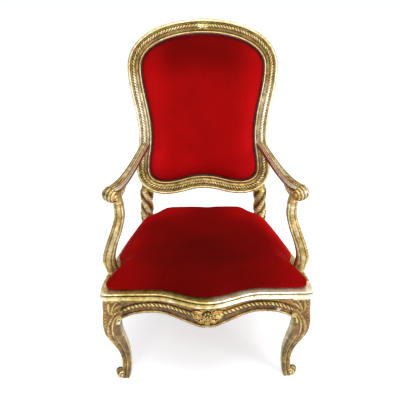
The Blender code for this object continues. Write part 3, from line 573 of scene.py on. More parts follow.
def velvet_cloth(name, stops):
    """Silk velvet: its pile lies in broad patches, and shines a little where it turns away."""
    made, tree, shader = principled(name)
    pile_and_painted_light = noise(tree, 5.5, 4, 0.5)
    fine = noise(tree, 95, 5, 0.7, offset=4.0)
    pile = noise(tree, 900, 2, 0.6, offset=8.0)
    # The relief attribute holds the pad's painted light and shade of the pile; the noises add patches of pile.
    level = calc(tree, "ADD", attribute(tree, "relief"), centred(tree, pile_and_painted_light, 0.36))
    level = calc(tree, "ADD", level, centred(tree, fine, 0.16), clamp=True)
    link(tree, ramp(tree, level, stops), shader.inputs["Base Color"])
    shader.inputs["Roughness"].default_value = 0.9
    shader.inputs["Specular IOR Level"].default_value = 0.03
    shader.inputs["Sheen Weight"].default_value = 0.06
    shader.inputs["Sheen Roughness"].default_value = 0.35
    shader.inputs["Sheen Tint"].default_value = (1.0, 0.06, 0.06, 1)
    bump(tree, shader, weighed(tree, fine, 0.5, pile), 0.30, 0.0010)
    return made


def woven_cloth(name):
    made, tree, shader = principled(name)
    warp = noise(tree, 60, 2, 0.5, stretch=(14, 1, 1))
    weft = noise(tree, 60, 2, 0.5, stretch=(1, 1, 14), offset=2.0)
    cloud = noise(tree, 6, 4, 0.6, offset=6.0)
    thread = calc(tree, "MULTIPLY", calc(tree, "ADD", warp, weft), 0.5)
    colour = ramp(tree, weighed(tree, thread, 0.7, cloud), [
        (0.30, (0.085, 0.004, 0.005)), (0.55, (0.210, 0.010, 0.012)), (0.75, (0.300, 0.022, 0.022)),
    ])
    link(tree, colour, shader.inputs["Base Color"])
    shader.inputs["Roughness"].default_value = 0.85
    bump(tree, shader, thread, 0.5, 0.0008)
    return made


gold = gilding("worn_gilding")
velvet = velvet_cloth("red_silk_velvet", [
    (0.00, (0.058, 0.0006, 0.0003)), (0.30, (0.135, 0.0008, 0.0006)), (0.65, (0.290, 0.0015, 0.0020)),
    (1.00, (0.480, 0.0040, 0.0060)),
])
lining_cloth = woven_cloth("red_lining_cloth")


# Back frame


def back_place(across, up, forward):
    """A point from its place in the leaning plane of the back; forward is out of its front face."""
    return net(
        across,
        BACK_FACE_Y + up * math.sin(LEAN) - forward * math.cos(LEAN),
        SEAT_LINE + up * math.cos(LEAN) + forward * math.sin(LEAN),
    )


CREST_UP = 0.713
DIP_UP = 0.1095


class Outline:
    """The middle line of the back frame by its length s: 0 at the crest, +X side first."""

    # Place, way the line runs there, and the reach of its curves before and after it
    corners = [
        ((0.0, CREST_UP), (1, 0), 0.0, 0.50),
        ((0.263, 0.562), (0, -1), 0.67, 0.345),
        ((0.2295, 0.300), (0, -1), 0.38, 0.37),
        ((0.2425, 0.165), (0, -1), 0.37, 0.63),
        ((0.152, 0.0855), (-1, 0), 0.61, 0.395),
        ((0.0, DIP_UP), (-1, 0), 0.395, 0.0),
    ]

    def __init__(self):
        line = []
        for low, high in zip(self.corners, self.corners[1:]):
            a, d = np.array(low[0]), np.array(high[0])
            before, after = np.array(low[1]), np.array(high[1])
            span = d - a
            b = a + before * (low[3] * abs(span @ before))
            c = d - after * (high[2] * abs(span @ after))
            line.append(bezier(a, b, c, d, np.arange(160) / 160))
        half = np.concatenate(line + [np.array([self.corners[-1][0]])])
        steps = np.linalg.norm(np.diff(half, axis=0), axis=1)
        self.length = np.concatenate([[0], np.cumsum(steps)])
        self.half = self.length[-1]
        self.line = half

    def at(self, s):
        s = (np.asarray(s, float) + self.half) % (2 * self.half) - self.half
        x = np.interp(np.abs(s), self.length, self.line[:, 0])
        up = np.interp(np.abs(s), self.length, self.line[:, 1])
        return np.stack([np.sign(s) * x, up], -1)

    def out(self, s):
        reach = FRAME_WIDTH / 8
        along = self.at(s + reach) - self.at(s - reach)
        return unit(np.stack([-along[..., 1], along[..., 0]], -1))


outline = Outline()

# The moulding in millimetres: across from its middle line outwards, out from the back, relief
FRAME_INNER = [
    (-25, 0, 0.3), (-25, 22, 0.2), (-25, 27, 0.5), (-24.2, 30.6, 1), (-21.6, 31.6, 1), (-19.2, 30.4, 0.9),
    (-18.2, 26.6, 0.2), (-17.4, 25.0, 0), (-15.5, 25.0, 0.15), (-11, 26.6, 0.55), (-8.2, 29.4, 0.7),
    (-7.0, 31.6, 0.85), (-6.3, 31.6, 0.5), (-6.0, 29.8, 0.0),
]
FRAME_OUTER = [
    (9.1, 30.0, 0.0), (9.6, 33.0, 0.5), (10.8, 34.8, 0.9), (12.0, 34.4, 0.6), (12.6, 32.8, 0.0),
    (13.4, 35.6, 0.35), (15.2, 39.4, 0.8), (18.6, 40.6, 1), (22.2, 39.0, 0.9), (24.8, 35.2, 0.7),
    (25, 30, 0.4), (25, 12, 0.3), (25, 0, 0.3),
]
ROPE_MIDDLE, ROPE_HALF, ROPE_BASE, ROPE_RISE = 1.5, 7.4, 30.4, 8.4


def frame_stretch(skin, start, end):
    """A stretch of the carved moulding: bead, cove, rope of leaning strands, fillet and outer roll."""
    s = stations(start, end, 0.0019)
    inner, outer = softened(FRAME_INNER, 2), softened(FRAME_OUTER, 2)
    t = np.sin(np.linspace(-1, 1, 17)[1:-1] * math.pi / 2)
    rope = np.stack([ROPE_MIDDLE + ROPE_HALF * t, np.zeros(len(t)), np.zeros(len(t))], 1)
    section = np.concatenate([inner, rope, outer])
    lean = np.zeros(len(section))
    on_rope = np.zeros(len(section))
    lean[len(inner):len(inner) + len(t)] = t
    on_rope[len(inner):len(inner) + len(t)] = np.sqrt(1 - t**2)
    wrapped = (s + outline.half) % (2 * outline.half) - outline.half
    side = np.where(wrapped >= 0, 1.0, -1.0)[:, None]
    phase = wrapped[:, None] / FRAME_ROPE_PITCH + side * 0.55 * lean[None, :]
    cut = strand(phase, 1.7)
    body = on_rope[None, :]
    height = section[None, :, 1] + 0 * cut
    rope_height = ROPE_BASE + ROPE_RISE * body * (0.38 + 0.62 * cut)
    height = np.where(body > 0, rope_height, height)
    relief = np.where(body > 0, 0.98 * body * cut ** 1.5, section[None, :, 2])
    # Small strokes of the gouge along the cove and the roll keep them from looking turned
    stroke = 0.22 * np.sin(wrapped[:, None] / 0.0031 + 5 * np.sin(wrapped[:, None] / 0.021))
    height = height + stroke * hill(section[:, 0], -12.5, 5)[None, :]
    place = outline.at(s)[:, None, :] + outline.out(s)[:, None, :] * (section[:, 0] / 1000)[None, :, None]
    points = back_place(place[..., 0], place[..., 1], height / 1000 - FRAME_DEPTH)
    # Olive gold round the crest, pale down the sides, and a reddish line next to the velvet, painted as its
    # shade and reflection
    far = np.abs(wrapped)
    pale = (smooth(0.25, 0.50, far) * (1 - smooth(outline.half - 0.42, outline.half - 0.24, far)))[:, None]
    on_roll = section[None, :, 0] >= 15
    tint = mix(0.15, -0.75, pale) * ~on_roll + mix(0.0, -0.75, pale) * on_roll
    tint = tint + 0.9 * hill(section[:, 0], -22.5, 4.5)[None, :] - 0.35 * (body > 0) * pale
    skin.sheet(points, relief, tint, ring=True, ends=True)


def on_back(lift):
    """A place for leaves on the frame's face, lift out from its back."""
    return lambda x, y, h: back_place(x, y, h + lift - FRAME_DEPTH)


crest = Skin()
frame_stretch(crest, -CREST_JOINT, CREST_JOINT)
for side in (-1, 1):
    half = mirrored(on_back(0.0352), side)
    leaf(crest, half, (0.001, CREST_UP - 0.002), 8, 0.025, 0.014, 0.0050, 4, -14, 0.0008)
    leaf(crest, half, (0.002, CREST_UP - 0.005), -34, 0.018, 0.009, 0.0036, 3, 28)
    ribbon = [(0.0, -0.009), (0.006, -0.001), (0.015, 0.007), (0.020, 0.005)]
    vine(crest, half, [(x, CREST_UP + y) for x, y in ribbon], 0.0022)
dome(crest, on_back(0.0372), (0.0, CREST_UP - 0.003), 0.0058, 0.0036)
gild(crest, "crest_carving", "crest_rail")

joints = (CREST_JOINT, outline.half - LOWER_JOINT, outline.half + LOWER_JOINT, 2 * outline.half - CREST_JOINT)
lower = Skin()
frame_stretch(lower, joints[1], joints[2])
gild(lower, "lower_back_carving", "lower_back_rail")


# Arms, drawn for the +X side


ARM_ROOT = back_place(0.2295 + 0.006, 0.248, 0.014)
ARM_END = np.array([ARM_SCROLL[0], ARM_SCROLL[1], ARM_SCROLL[2] + ARM_SCROLL_RADIUS - ARM_HEIGHT / 2])
ARM_SPAN = ARM_END - ARM_ROOT
ARM_FLARE = np.array([math.sin(ARM_TURN), -math.cos(ARM_TURN), 0.0])
ARM_LEAVING = ARM_ROOT + np.array([0.31 * ARM_SPAN[0], 0.36 * ARM_SPAN[1], -ARM_SAG])
ARM_ARRIVING = ARM_END - ARM_FLARE * 0.060 - np.array([0.0, 0.0, 0.6 * ARM_SAG])
ARM_LENGTH = 0.43
CORNER_LEAF = 0.074
CORNER_LEAF_RADIUS = 0.015


def arm_line(share):
    return bezier(ARM_ROOT, ARM_LEAVING, ARM_ARRIVING, ARM_END, share)


def arm_axes(share):
    low, high = np.clip(share - 0.01, 0, 1), np.clip(share + 0.01, 0, 1)
    along = unit(arm_line(high) - arm_line(low))
    across = unit(np.cross([0.0, 0.0, 1.0], along))
    return across, np.cross(along, across)


def arm_size(share):
    width = mix(ARM_ROOT_SIZE[0], ARM_SCROLL_WIDTH * 0.94, smooth(0, 1, share) ** 1.6)
    height = mix(ARM_ROOT_SIZE[1], ARM_HEIGHT, smooth(0, 1 / 1.6, share))
    return width, height


# Round the arm's section as shares of its half width and half height, with its relief and tint
# The tint paints highlights on the two fillets of the inner edge, and red-brown painted shade on the inner face
# and under the arm.
ARM_SECTION = [
    (1.02, 0.05, 0.45, 0), (1.0, 0.45, 0.6, 0), (0.95, 0.74, 0.9, 0), (0.86, 0.82, 0.9, 0),
    (0.80, 0.72, 0.2, 0), (0.76, 0.64, 0.0, 0.1), (0.70, 0.76, 0.4, -0.35), (0.45, 0.90, 0.7, -0.35), (0.10, 0.98, 0.75, -0.35),
    (-0.20, 0.96, 0.75, -0.35), (-0.34, 0.88, 0.5, -0.35), (-0.39, 0.66, 0.0, 0.2), (-0.46, 0.66, 0.0, 0.2),
    (-0.51, 0.90, 0.9, -1.1), (-0.60, 0.97, 1.0, -1.1), (-0.67, 0.90, 0.9, -1.1), (-0.71, 0.64, 0.0, 0.2),
    (-0.77, 0.64, 0.0, 0.2), (-0.82, 0.84, 1.0, -1.1), (-0.91, 0.84, 1.0, -1.1), (-0.98, 0.66, 0.9, -1.0),
    (-1.02, 0.42, 0.3, 0.8), (-0.99, 0.18, 0.15, 1.4), (-0.97, -0.10, 0.35, 1.4), (-0.90, -0.38, 0.50, 1.3),
    (-0.72, -0.70, 0.60, 1.1), (-0.40, -0.94, 0.50, 0.8),
    (0.0, -1.04, 0.40, 0.6), (0.4, -0.92, 0.35, 0.3), (0.80, -0.62, 0.35, 0), (0.98, -0.15, 0.40, 0),
]


def arm_rings(share):
    """The carved section of the arm at each share of its length, its relief and its tint: a laurel band near
    the back, a hatched band, and a leaf that opens towards the scroll; two fillets run along its inner edge."""
    section = softened_ring(ARM_SECTION, 1)
    a, b, worth, tint = section.T
    width, height = arm_size(share)
    length = share[:, None] * ARM_LENGTH
    band = smooth(-0.38, -0.32, a) * (1 - smooth(0.66, 0.76, a)) * (b > 0.5)
    middle = (a - 0.15)[None, :]
    laurel = strand(length / 0.0100 - 0.9 * np.abs(middle), 1.8)
    laurel = laurel * (1 - 0.8 * np.exp(-((middle / 0.09) ** 2)))
    hatch = strand(length / 0.0062 - 0.5 * middle, 2.0)
    flutes = 0.5 + 0.5 * np.cos(2 * math.pi * (middle / 0.44 - 0.12 * np.sin(length / 0.02)))
    scallop = strand(length / 0.0180 - 0.7 * np.abs(middle), 2.0)
    leafy = flutes * (0.45 + 0.55 * scallop)
    first, last = smooth(0.36, 0.46, share)[:, None], smooth(0.58, 0.70, share)[:, None]
    cut = mix(mix(laurel, 0.45 + 0.55 * hatch, first), leafy, last)
    deep = mix(mix(0.0030, 0.0016, first), 0.0048, last)
    wider = 1 + last * 0.9 * ((b > 0.3) * (1 - band))[None, :]
    band = np.clip(band[None, :] * wider, 0, 1)
    lift = band * deep * (cut - 0.62) + 0.0016 * last * band
    relief = mix(worth[None, :] + 0 * lift, 0.04 + 0.94 * cut, band)
    # The outer side carries a line of small leaves under the roll
    outer = (np.exp(-(((b - 0.1) / 0.35) ** 2)) * (a > 0.8))[None, :]
    row = strand(length / 0.0120 + 0.4 * b[None, :], 1.8)
    relief = mix(relief, 0.1 + 0.8 * row, outer * 0.8)
    side_lift = outer * (row - 0.6) * 0.0016
    tint = tint[None, :] + last * band * 0.55 * (1 - cut) + 0.5 * first * (1 - last) * band * (1 - hatch)
    centre = arm_line(share)
    across, up = arm_axes(share)
    points = (
        centre[:, None, :]
        + across[:, None, :] * (a[None, :] * width[:, None] / 2 + side_lift)[..., None]
        + up[:, None, :] * (b[None, :] * height[:, None] / 2 + lift)[..., None]
    )
    return points, relief, tint


def arm(skin, side):
    share = stations(0.0, 1.0, 0.004)
    points, relief, tint = arm_rings(share)
    skin.sheet(sided(points, side), relief, tint, ring=True, ends=True)
    spiral_drum(
        skin, ARM_SCROLL, (math.cos(ARM_TURN), math.sin(ARM_TURN), 0), ARM_FLARE, ARM_SCROLL_RADIUS,
        ARM_SCROLL_WIDTH, 0.14, 3.0, side, 0.20, (0.75, -0.35),
    )
    # The neck above the support, with a ring of leaf tips round it
    turn = np.linspace(0, 2 * math.pi, 64, endpoint=False)
    rise = np.linspace(0.0, 1.30, 34)
    grow = read_curve([(0.0, 1.0), (0.12, 1.06), (0.33, 1.05), (1.30, 1.10)], rise)[:, 0]
    lobes = strand(turn / (2 * math.pi) * 10)[None, :]
    tip = hill(rise, 0.22, 0.24)[:, None]
    reach = grow[:, None] * (1 - 0.09 * tip * (1 - lobes))
    x = NECK[0] + rise[:, None] * 0.35 * (ARM_SCROLL[0] - NECK[0])
    x = x + np.cos(turn)[None, :] * reach * NECK_SIZE[0] / 2
    y = NECK[1] + np.sin(turn)[None, :] * reach * NECK_SIZE[1] / 2
    z = SUPPORT_TOP + rise[:, None] * ARM_SCROLL_RISE
    relief = 0.1 + 0.75 * tip * lobes + 0.35 * (1 - tip)
    skin.sheet(sided(net(x, y, z), side), relief, 0.35, ring=True, ends=True)
    # A leaf that fills the corner between the arm's underside and the support
    share = np.linspace(0, 1, 46)
    body = read_curve([(0, 0.85), (0.35, 1.0), (0.7, 0.77), (0.92, 0.40), (1.0, 0.06)], share)[:, 0]
    around = np.linspace(0, 2 * math.pi, 48, endpoint=False)
    ribs = strand(share[:, None] * 4.0 - 0.5 * np.abs(np.cos(around))[None, :])
    reach = CORNER_LEAF_RADIUS * body[:, None] * (0.78 + 0.30 * ribs)
    along = share * CORNER_LEAF
    x = (NECK[0] - 0.20 * along)[:, None] + 0.8 * reach * np.cos(around)[None, :]
    y = (NECK[1] + NECK_SIZE[1] / 3 + along)[:, None]
    z = (ARM_SCROLL[2] - 0.4 * CORNER_LEAF_RADIUS + 0.06 * along)[:, None] + reach * np.sin(around)[None, :]
    skin.sheet(sided(net(x, y, z), side), 0.15 + 0.80 * ribs, -0.4, ring=True, ends=True)


gild_pair(arm, "arm")


# Arm supports

SUPPORT_SECTION = (
    (1.0, -0.55), (1.0, 0.30), (0.80, 0.85), (-0.45, 1.0), (-1.0, 0.60),
    (-1.0, -0.50), (-0.72, -0.86), (0.0, -1.0), (0.62, -0.94), (0.86, -0.80),
)
# The support's middle line and half sizes by its rise: across, back, half width, half depth
SUPPORT_ROWS = [
    (0.0, 0.3220, 0.1200, 0.0190, 0.0220), (0.10, 0.3280, 0.1205, 0.0195, 0.0225),
    (0.24, 0.3350, 0.1220, 0.0215, 0.0220), (0.42, 0.3260, 0.1320, 0.0205, 0.0205),
    (0.64, 0.3058, 0.1460, 0.0195, 0.0180), (0.82, 0.2942, 0.1640, 0.0175, 0.0180),
    (1.0, 0.2955, 0.1680, 0.0170, 0.0180),
]


def arm_support(skin, side):
    z = stations(SEAT_TOP + GAP, SUPPORT_TOP - GAP, 0.0020)
    rise = (z - z[0]) / (z[-1] - z[0])
    x, y, half_width, half_depth = read_curve(SUPPORT_ROWS, rise).T
    rise = rise[:, None]
    section = evened(softened_ring(SUPPORT_SECTION, 3), 84, ring=True)
    a, b = section.T
    around = np.arctan2(b, a)
    # The outer edge is a bead cut across by slanting notches; the front face is smooth between two grooves
    edge = hill(around, -0.42, 0.62)[None, :] * smooth(0.10, 0.18, rise) * (1 - smooth(0.93, 0.99, rise))
    notch = strand(z[:, None] / 0.0105 - 0.7 * (around[None, :] + 0.4), 1.7)
    inner_bead = hill(around, -2.30, 0.24)[None, :]
    flat = (hill(around, -1.10, 0.13) + hill(around, -2.02, 0.12))[None, :] * smooth(0.06, 0.14, rise)
    inner_face = (smooth(2.2, 2.7, around) + (1 - smooth(-2.75, -2.5, around)))[None, :]
    collar = hill(rise, 0.05, 0.03) + hill(rise, 0.945, 0.03)
    swell = 1 + 0.085 * edge * (notch - 0.45) - 0.055 * flat + 0.03 * inner_bead + 0.035 * collar
    points = net(
        x[:, None] + a[None, :] * half_width[:, None] * swell,
        y[:, None] + b[None, :] * half_depth[:, None] * swell,
        z[:, None],
    )
    relief = 0.66 - 0.6 * flat + 0.3 * inner_bead + 0.2 * collar
    relief = mix(relief, 0.04 + 0.96 * notch, edge)
    # Painted shade: the inner face darkens towards the seat.
    relief = relief - 0.45 * inner_face * (1 - smooth(0.05, 0.45, rise))
    # Painted light: a painted highlight down the front face, and a red-brown painted reflection of the velvet
    # on the inner face, stronger low down.
    front = np.exp(-(((around + 1.55) / 0.65) ** 2))[None, :]
    tint = -0.30 * front + inner_face * mix(1.2, 0.75, rise)
    skin.sheet(sided(points, side), np.clip(relief, 0, 1), tint, ring=True, ends=True)


gild_pair(arm_support, "arm_support")


# Back legs: raked leg, twisted post, stile of the frame and the arm's shoulder


def back_leg_centre(z):
    joint_y = SEAT_DEPTH + POST_DEPTH / 2
    rail_bottom = SEAT_TOP - SIDE_RAIL_HEIGHT
    drop = np.clip(rail_bottom - z, 0, None) / rail_bottom
    return joint_y + np.clip(z - SEAT_TOP, 0, None) * math.tan(LEAN) + BACK_FOOT_RAKE * drop**2


POST_CORNER = 9


def back_leg(skin, side):
    turn = np.linspace(0, 2 * math.pi, 96, endpoint=False)
    cos, sin = np.cos(turn), np.sin(turn)
    # Plain leg
    corner = (np.abs(cos) ** POST_CORNER + np.abs(sin) ** POST_CORNER) ** (-1 / POST_CORNER)
    a, b = (cos * corner)[None, :], (sin * corner)[None, :]
    rail_bottom = SEAT_TOP - SIDE_RAIL_HEIGHT
    z = stations(0.0, SEAT_TOP, 0.008)
    at = [0, 0.9 * rail_bottom, rail_bottom, SEAT_TOP]
    deep = mix(BACK_FOOT_WIDTH, POST_DEPTH, np.interp(z, at, [0.0, 0.9, 1.0, 1.0]))
    almost = mix(BACK_FOOT_WIDTH, POST_DEPTH, 0.9)
    wide = np.interp(z, at, [BACK_FOOT_WIDTH, almost, POST_WIDTH, POST_WIDTH])
    points = net(
        POST_X + a * wide[:, None] / 2, back_leg_centre(z)[:, None] + b * deep[:, None] / 2, z[:, None]
    )
    skin.sheet(sided(points, side), 0.45 + 0.35 * np.abs(a * b), ring=True, ends=True)
    # Twisted post: four leafy lobes that wind up, between a base ring and the frame
    z = stations(SEAT_TOP, TWIST_START + TWIST_HEIGHT + 0.7 * FRAME_WIDTH, 0.0017)
    share = (z - TWIST_START) / TWIST_HEIGHT
    waist = 1 - 0.08 * np.sin(math.pi * np.clip(share, 0, 1))
    winding = TWIST_TURN * np.clip(share, -0.05, 1.0)
    spin = turn[None, :] - winding[:, None]
    lobe = 0.5 + 0.5 * np.cos(4 * spin)
    from_crest = np.abs(((2 * spin / math.pi) % 1) - 0.5) * 2
    chevron = strand(z[:, None] / 0.0088 + 0.45 * from_crest, 1.7)
    inside = (smooth(-0.02, 0.08, share) * (1 - smooth(0.97, 1.10, share)))[:, None]
    carving = inside * (0.26 * (lobe ** 0.7 - 0.5) + 0.060 * (chevron - 0.6) * lobe)
    at = [-0.12, -0.03, 0, 1, 1.08, 1.4]
    wide = np.interp(share, at, [1.0, 0.94, 1.06, 1.06, 0.92, 0.60]) * POST_WIDTH / 2 * waist
    deep = np.interp(share, at, [1.0, 0.94, 1.0, 1.0, 0.80, 0.56]) * POST_DEPTH / 2 * waist
    square = 1 - smooth(-0.09, 0.03, share)
    corner = (np.abs(cos) ** 8 + np.abs(sin) ** 8) ** (-1 / 8)
    rim = mix(1.0, corner[None, :], square[:, None])
    ring_bead = 0.05 * hill(share, 0.02, 0.05)[:, None]
    reach = rim * (1 + carving + ring_bead)
    points = net(
        POST_X + cos[None, :] * reach * wide[:, None],
        back_leg_centre(z)[:, None] + sin[None, :] * reach * deep[:, None],
        z[:, None],
    )
    relief = np.clip(mix(0.55, 0.98 * lobe ** 0.8 * (0.45 + 0.55 * chevron), inside), 0, 1)
    skin.sheet(sided(points, side), relief, inside * (0.95 - 1.3 * lobe), ring=True, ends=True)
    # A leaf that rolls outwards at the foot of the post, and one on each face
    for heading, length, tip in ((0, 0.040, 0.004), (-90, 0.040, 0.003), (90, 0.036, 0.003)):

        def on_post(u, v, h, facing=math.radians(heading)):
            height = SEAT_TOP + v
            around = facing + u / (POST_WIDTH / 2)
            x = POST_X + np.cos(around) * (0.96 * POST_WIDTH / 2 + h)
            y = back_leg_centre(height) + np.sin(around) * (0.96 * POST_DEPTH / 2 + h)
            return sided(net(x, y, height), side)

        leaf(skin, on_post, (0.0, 0.004), 90, length, 0.024, 0.0038, 5, 0, tip, tint=0.3)
    # Stile of the back frame
    start, end = joints[:2] if side > 0 else joints[2:]
    frame_stretch(skin, start + GAP, end - GAP)
    # Leaf tips at the frame's lower outer corner
    place = mirrored(on_back(0.030), side)
    for start, heading, length in (
        ((0.236, 0.140), -62, 0.0225), ((0.226, 0.121), -80, 0.0195), ((0.247, 0.165), -72, 0.0210),
    ):
        leaf(skin, place, start, heading, length, 0.010, 0.0045, 3, -20, 0.0)
    # Shoulder that the arm is joined to
    section = softened_ring(ARM_SECTION, 2)
    across, up = (axis[0] for axis in arm_axes(np.array([0.0])))
    along = np.cross(across, up)
    along = along if along[1] < 0 else -along
    depth = np.linspace(-1.05 * FRAME_DEPTH, -GAP, 30)
    grow = read_curve([(-1.05, 0.92), (-0.35, 1.05), (-0.15, 1.04), (0.0, 1.0)], depth / FRAME_DEPTH)[:, 0]
    middle = ARM_ROOT + along * depth[:, None]
    points = (
        middle[:, None, :]
        + across * (section[None, :, 0] * grow[:, None] * ARM_ROOT_SIZE[0] / 2)[..., None]
        + up * (section[None, :, 1] * grow[:, None] * ARM_ROOT_SIZE[1] / 2)[..., None]
    )
    skin.sheet(sided(points, side), section[None, :, 2] * 0.8, section[None, :, 3], ring=True, ends=True)


gild_pair(back_leg, "back_leg")


# Seat rails

# The moulding along the top, in millimetres: below the seat's top, out from the face, relief
TOP_MOULDING = [
    (0.0, -6, 0.6), (0.0, 1.0, 0.7), (0.4, 4.6, 1), (2.6, 6.4, 1), (5.2, 5.6, 0.9), (7.0, 2.6, 0.2),
    (8.0, 1.2, 0.0), (9.2, 1.6, 0.1), (10.4, 6.4, 0.6), (12.4, 7.8, 0.85), (17.0, 8.6, 1.0),
    (21.6, 9.0, 1.0), (23.6, 8.0, 0.85), (25.2, 3.6, 0.3), (26.2, -0.6, 0.0),
]
MOULDING_FOOT = 0.0265
MOULDING_EDGE = 0.0275
HIDDEN_RELIEF = 0.3


def column_nets(columns, count):
    """The three values of each column, numbers or rows of count, as three nets."""
    return (np.stack([np.broadcast_to(column[k], count) for column in columns], 1) for k in range(3))


def bow(x):
    x = np.abs(np.asarray(x, float))
    return np.where(x >= BOW_HALF_WIDTH, 0.0, BOW_DEPTH * 0.5 * (1 + np.cos(math.pi * x / BOW_HALF_WIDTH)))


APRON_END = SEAT_HALF_WIDTH - 2 * BLOCK


def apron_drop(x):
    x = np.abs(np.asarray(x, float))
    share = smooth(0, APRON_ARCH_AT, x)
    lobe = APRON_LOBE * np.exp(-(((x - FLOWER_RADIUS) / FLOWER_RADIUS) ** 2))
    inner = mix(APRON_CENTRE, APRON_ARCH, share) + lobe
    outer = np.clip((x - APRON_ARCH_AT) / (APRON_END - APRON_ARCH_AT), 0, None)
    return np.where(x < APRON_ARCH_AT, inner, mix(APRON_ARCH, APRON_SPRING, outer**2.6))


def front_place(x, z, h):
    """A point of the front rail's face: across, up from the floor, and out from the face."""
    return net(x, -bow(x) - h, z)


def front_rail():
    skin = Skin()
    end = APRON_END - GAP
    x = stations(-end, end, 0.0020)
    drop = apron_drop(x)
    # Below the moulding everything keeps its distance from the lower edge: (share of the way from the
    # moulding to the rope, out, relief), then distances above the edge
    flat = [(0.0, -3.6, 0.0), (0.10, -3.8, 0.35), (0.5, -3.6, 0.5), (0.92, -3.4, 0.35), (1.0, -4.2, 0.0)]
    foot = [
        (25.0, -4.4, 0.0), (22.0, -5.6, 0.12), (16.0, -6.4, 0.30), (11.0, -5.4, 0.22), (9.6, -3.0, 0.10),
        (8.6, 0.4, 0.45), (6.8, 2.2, 0.75), (4.6, 2.0, 0.6), (3.2, 1.2, 0.1), (1.4, 0.8, 0.0),
        (0.0, -0.6, 0.1), (0.0, -6.0, 0.1),
    ]
    rope = -drop + ROPE_ABOVE_EDGE + ROPE_LIFT * (1 - smooth(0, APRON_ARCH_AT, np.abs(x)))
    rope_half = 0.0080
    columns = [(SEAT_TOP - down / 1000, out / 1000, worth) for down, out, worth in softened(TOP_MOULDING, 2)]
    for share, out, worth in softened(flat, 1):
        z = mix(SEAT_TOP - MOULDING_FOOT, SEAT_TOP + rope + rope_half, share)
        columns.append((z, out / 1000, worth))
    # The rope sinks under the flower
    shown = 1 - 0.8 * hill(x, 0, 0.048)
    for t in np.sin(np.linspace(1, -1, 17)[1:-1] * math.pi / 2):
        body = math.sqrt(1 - t * t)
        cut = strand(x / SEAT_ROPE_PITCH + 0.45 * t, 1.6)
        out = -0.0046 + 0.0100 * body * (0.35 + 0.65 * cut) * shown
        columns.append((SEAT_TOP + rope + t * rope_half, out, body * cut ** 1.4))
    for rise, out, worth in softened(foot, 2):
        # The hollow under the rope widens with it; the bead at the edge doesn't
        reach = rise / 1000
        if rise > 10:
            reach = mix(reach, reach + drop + rope - ROPE_ABOVE_EDGE, (rise - 10) / 15)
        columns.append((SEAT_TOP - drop + reach, out / 1000, worth))
    columns.append((SEAT_TOP - drop, -FRONT_RAIL_THICKNESS, HIDDEN_RELIEF))
    columns.append((SEAT_TOP, -FRONT_RAIL_THICKNESS, HIDDEN_RELIEF))
    z, out, worth = column_nets(columns, len(x))
    grain = 0.00025 * np.sin(x / 0.0037 + 3 * np.sin(x / 0.029))[:, None]
    grain = grain * ((z < SEAT_TOP - 0.027) & (out > -0.02))
    points = net(x[:, None], -bow(x)[:, None] - out - grain, z)
    # The band carries a painted highlight towards the right, where the light falls, and is darker and olive
    # towards the left; clay shows in the field and the hollow
    band = z > SEAT_TOP - MOULDING_EDGE
    rightwards = smooth(-0.05, 0.06, x)[:, None]
    field = (z < SEAT_TOP - MOULDING_EDGE) & (worth < 0.62)
    tint = np.where(band, mix(0.05, -0.85, rightwards), np.where(field, 0.55, -0.15))
    skin.sheet(points, worth * np.where(band, mix(0.80, 1.0, rightwards), 0.88), tint, ring=True, ends=True)
    # The flower in the middle, on a ground of leaves and small scrolls
    z0 = SEAT_TOP - APRON_CENTRE + FLOWER_ABOVE_EDGE

    def on(x, y, h):
        return front_place(x, z0 + y, h - 0.0030)

    clay = dict(tint=0.7)
    petals = dict(petals=7, dent=0.24, relief=0.85, tint=0.45)
    dome(skin, on, (0.0, 0.0), FLOWER_RADIUS * 0.80, 0.0125, **petals)
    vine(skin, on, curl_line((0.0, 0.0), FLOWER_RADIUS * 0.98, 60, 0.98, 1.0), 0.0024, tint=0.1)
    upper = [(0.020, 0.000), (0.032, 0.004), (0.044, 0.001), (0.052, -0.006), (0.047, -0.012)]
    under = [(0.004, -0.032), (0.016, -0.031), (0.030, -0.026), (0.042, -0.019), (0.050, -0.010)]
    for side in (-1, 1):
        here = mirrored(on, side)
        leaf(skin, here, (0.016, 0.008), 20, 0.036, 0.015, 0.0075, 4, -34, 0.0010, **clay)
        leaf(skin, here, (0.015, -0.008), -12, 0.040, 0.015, 0.0070, 4, 34, 0.0006, **clay)
        leaf(skin, here, (0.010, -0.018), -52, 0.026, 0.013, 0.0056, 4, 46, **clay)
        leaf(skin, here, (0.004, -0.020), -100, 0.020, 0.012, 0.0056, 3, 30, **clay)
        vine(skin, here, upper, 0.0024, **clay)
        vine(skin, here, under, 0.0024, **clay)
        dome(skin, here, (0.0225, -0.0215), 0.0036, 0.0050, tint=0.3)
    # A second small ring stands above the flower's right side
    ring = (0.0220, 0.0130)
    vine(skin, on, curl_line(ring, 0.0085, 0, 0.98, 1.0), 0.0026, tint=0.1)
    dome(skin, on, ring, 0.0036, 0.0052, tint=0.1)
    leaf(skin, on, (-0.010, 0.014), 140, 0.020, 0.011, 0.0052, 3, 30, **clay)
    gild(skin, "front_rail_carving", "front_rail")


front_rail()


def side_line(share):
    front = np.array([SEAT_HALF_WIDTH, 2 * BLOCK + GAP])
    back = np.array([POST_X + POST_WIDTH / 2, SEAT_DEPTH - GAP])
    along = unit(back - front)
    out = np.array([along[1], -along[0]])
    share = np.asarray(share, float)[:, None]
    return front + (back - front) * share + out * (SIDE_RAIL_BOW * 4 * share * (1 - share))


SIDE_RAIL_LENGTH = 0.43
SIDE_ROPE_PITCH = 0.0125
SIDE_ROPE_AT = 0.0245
SIDE_ROPE_HALF = 0.0060


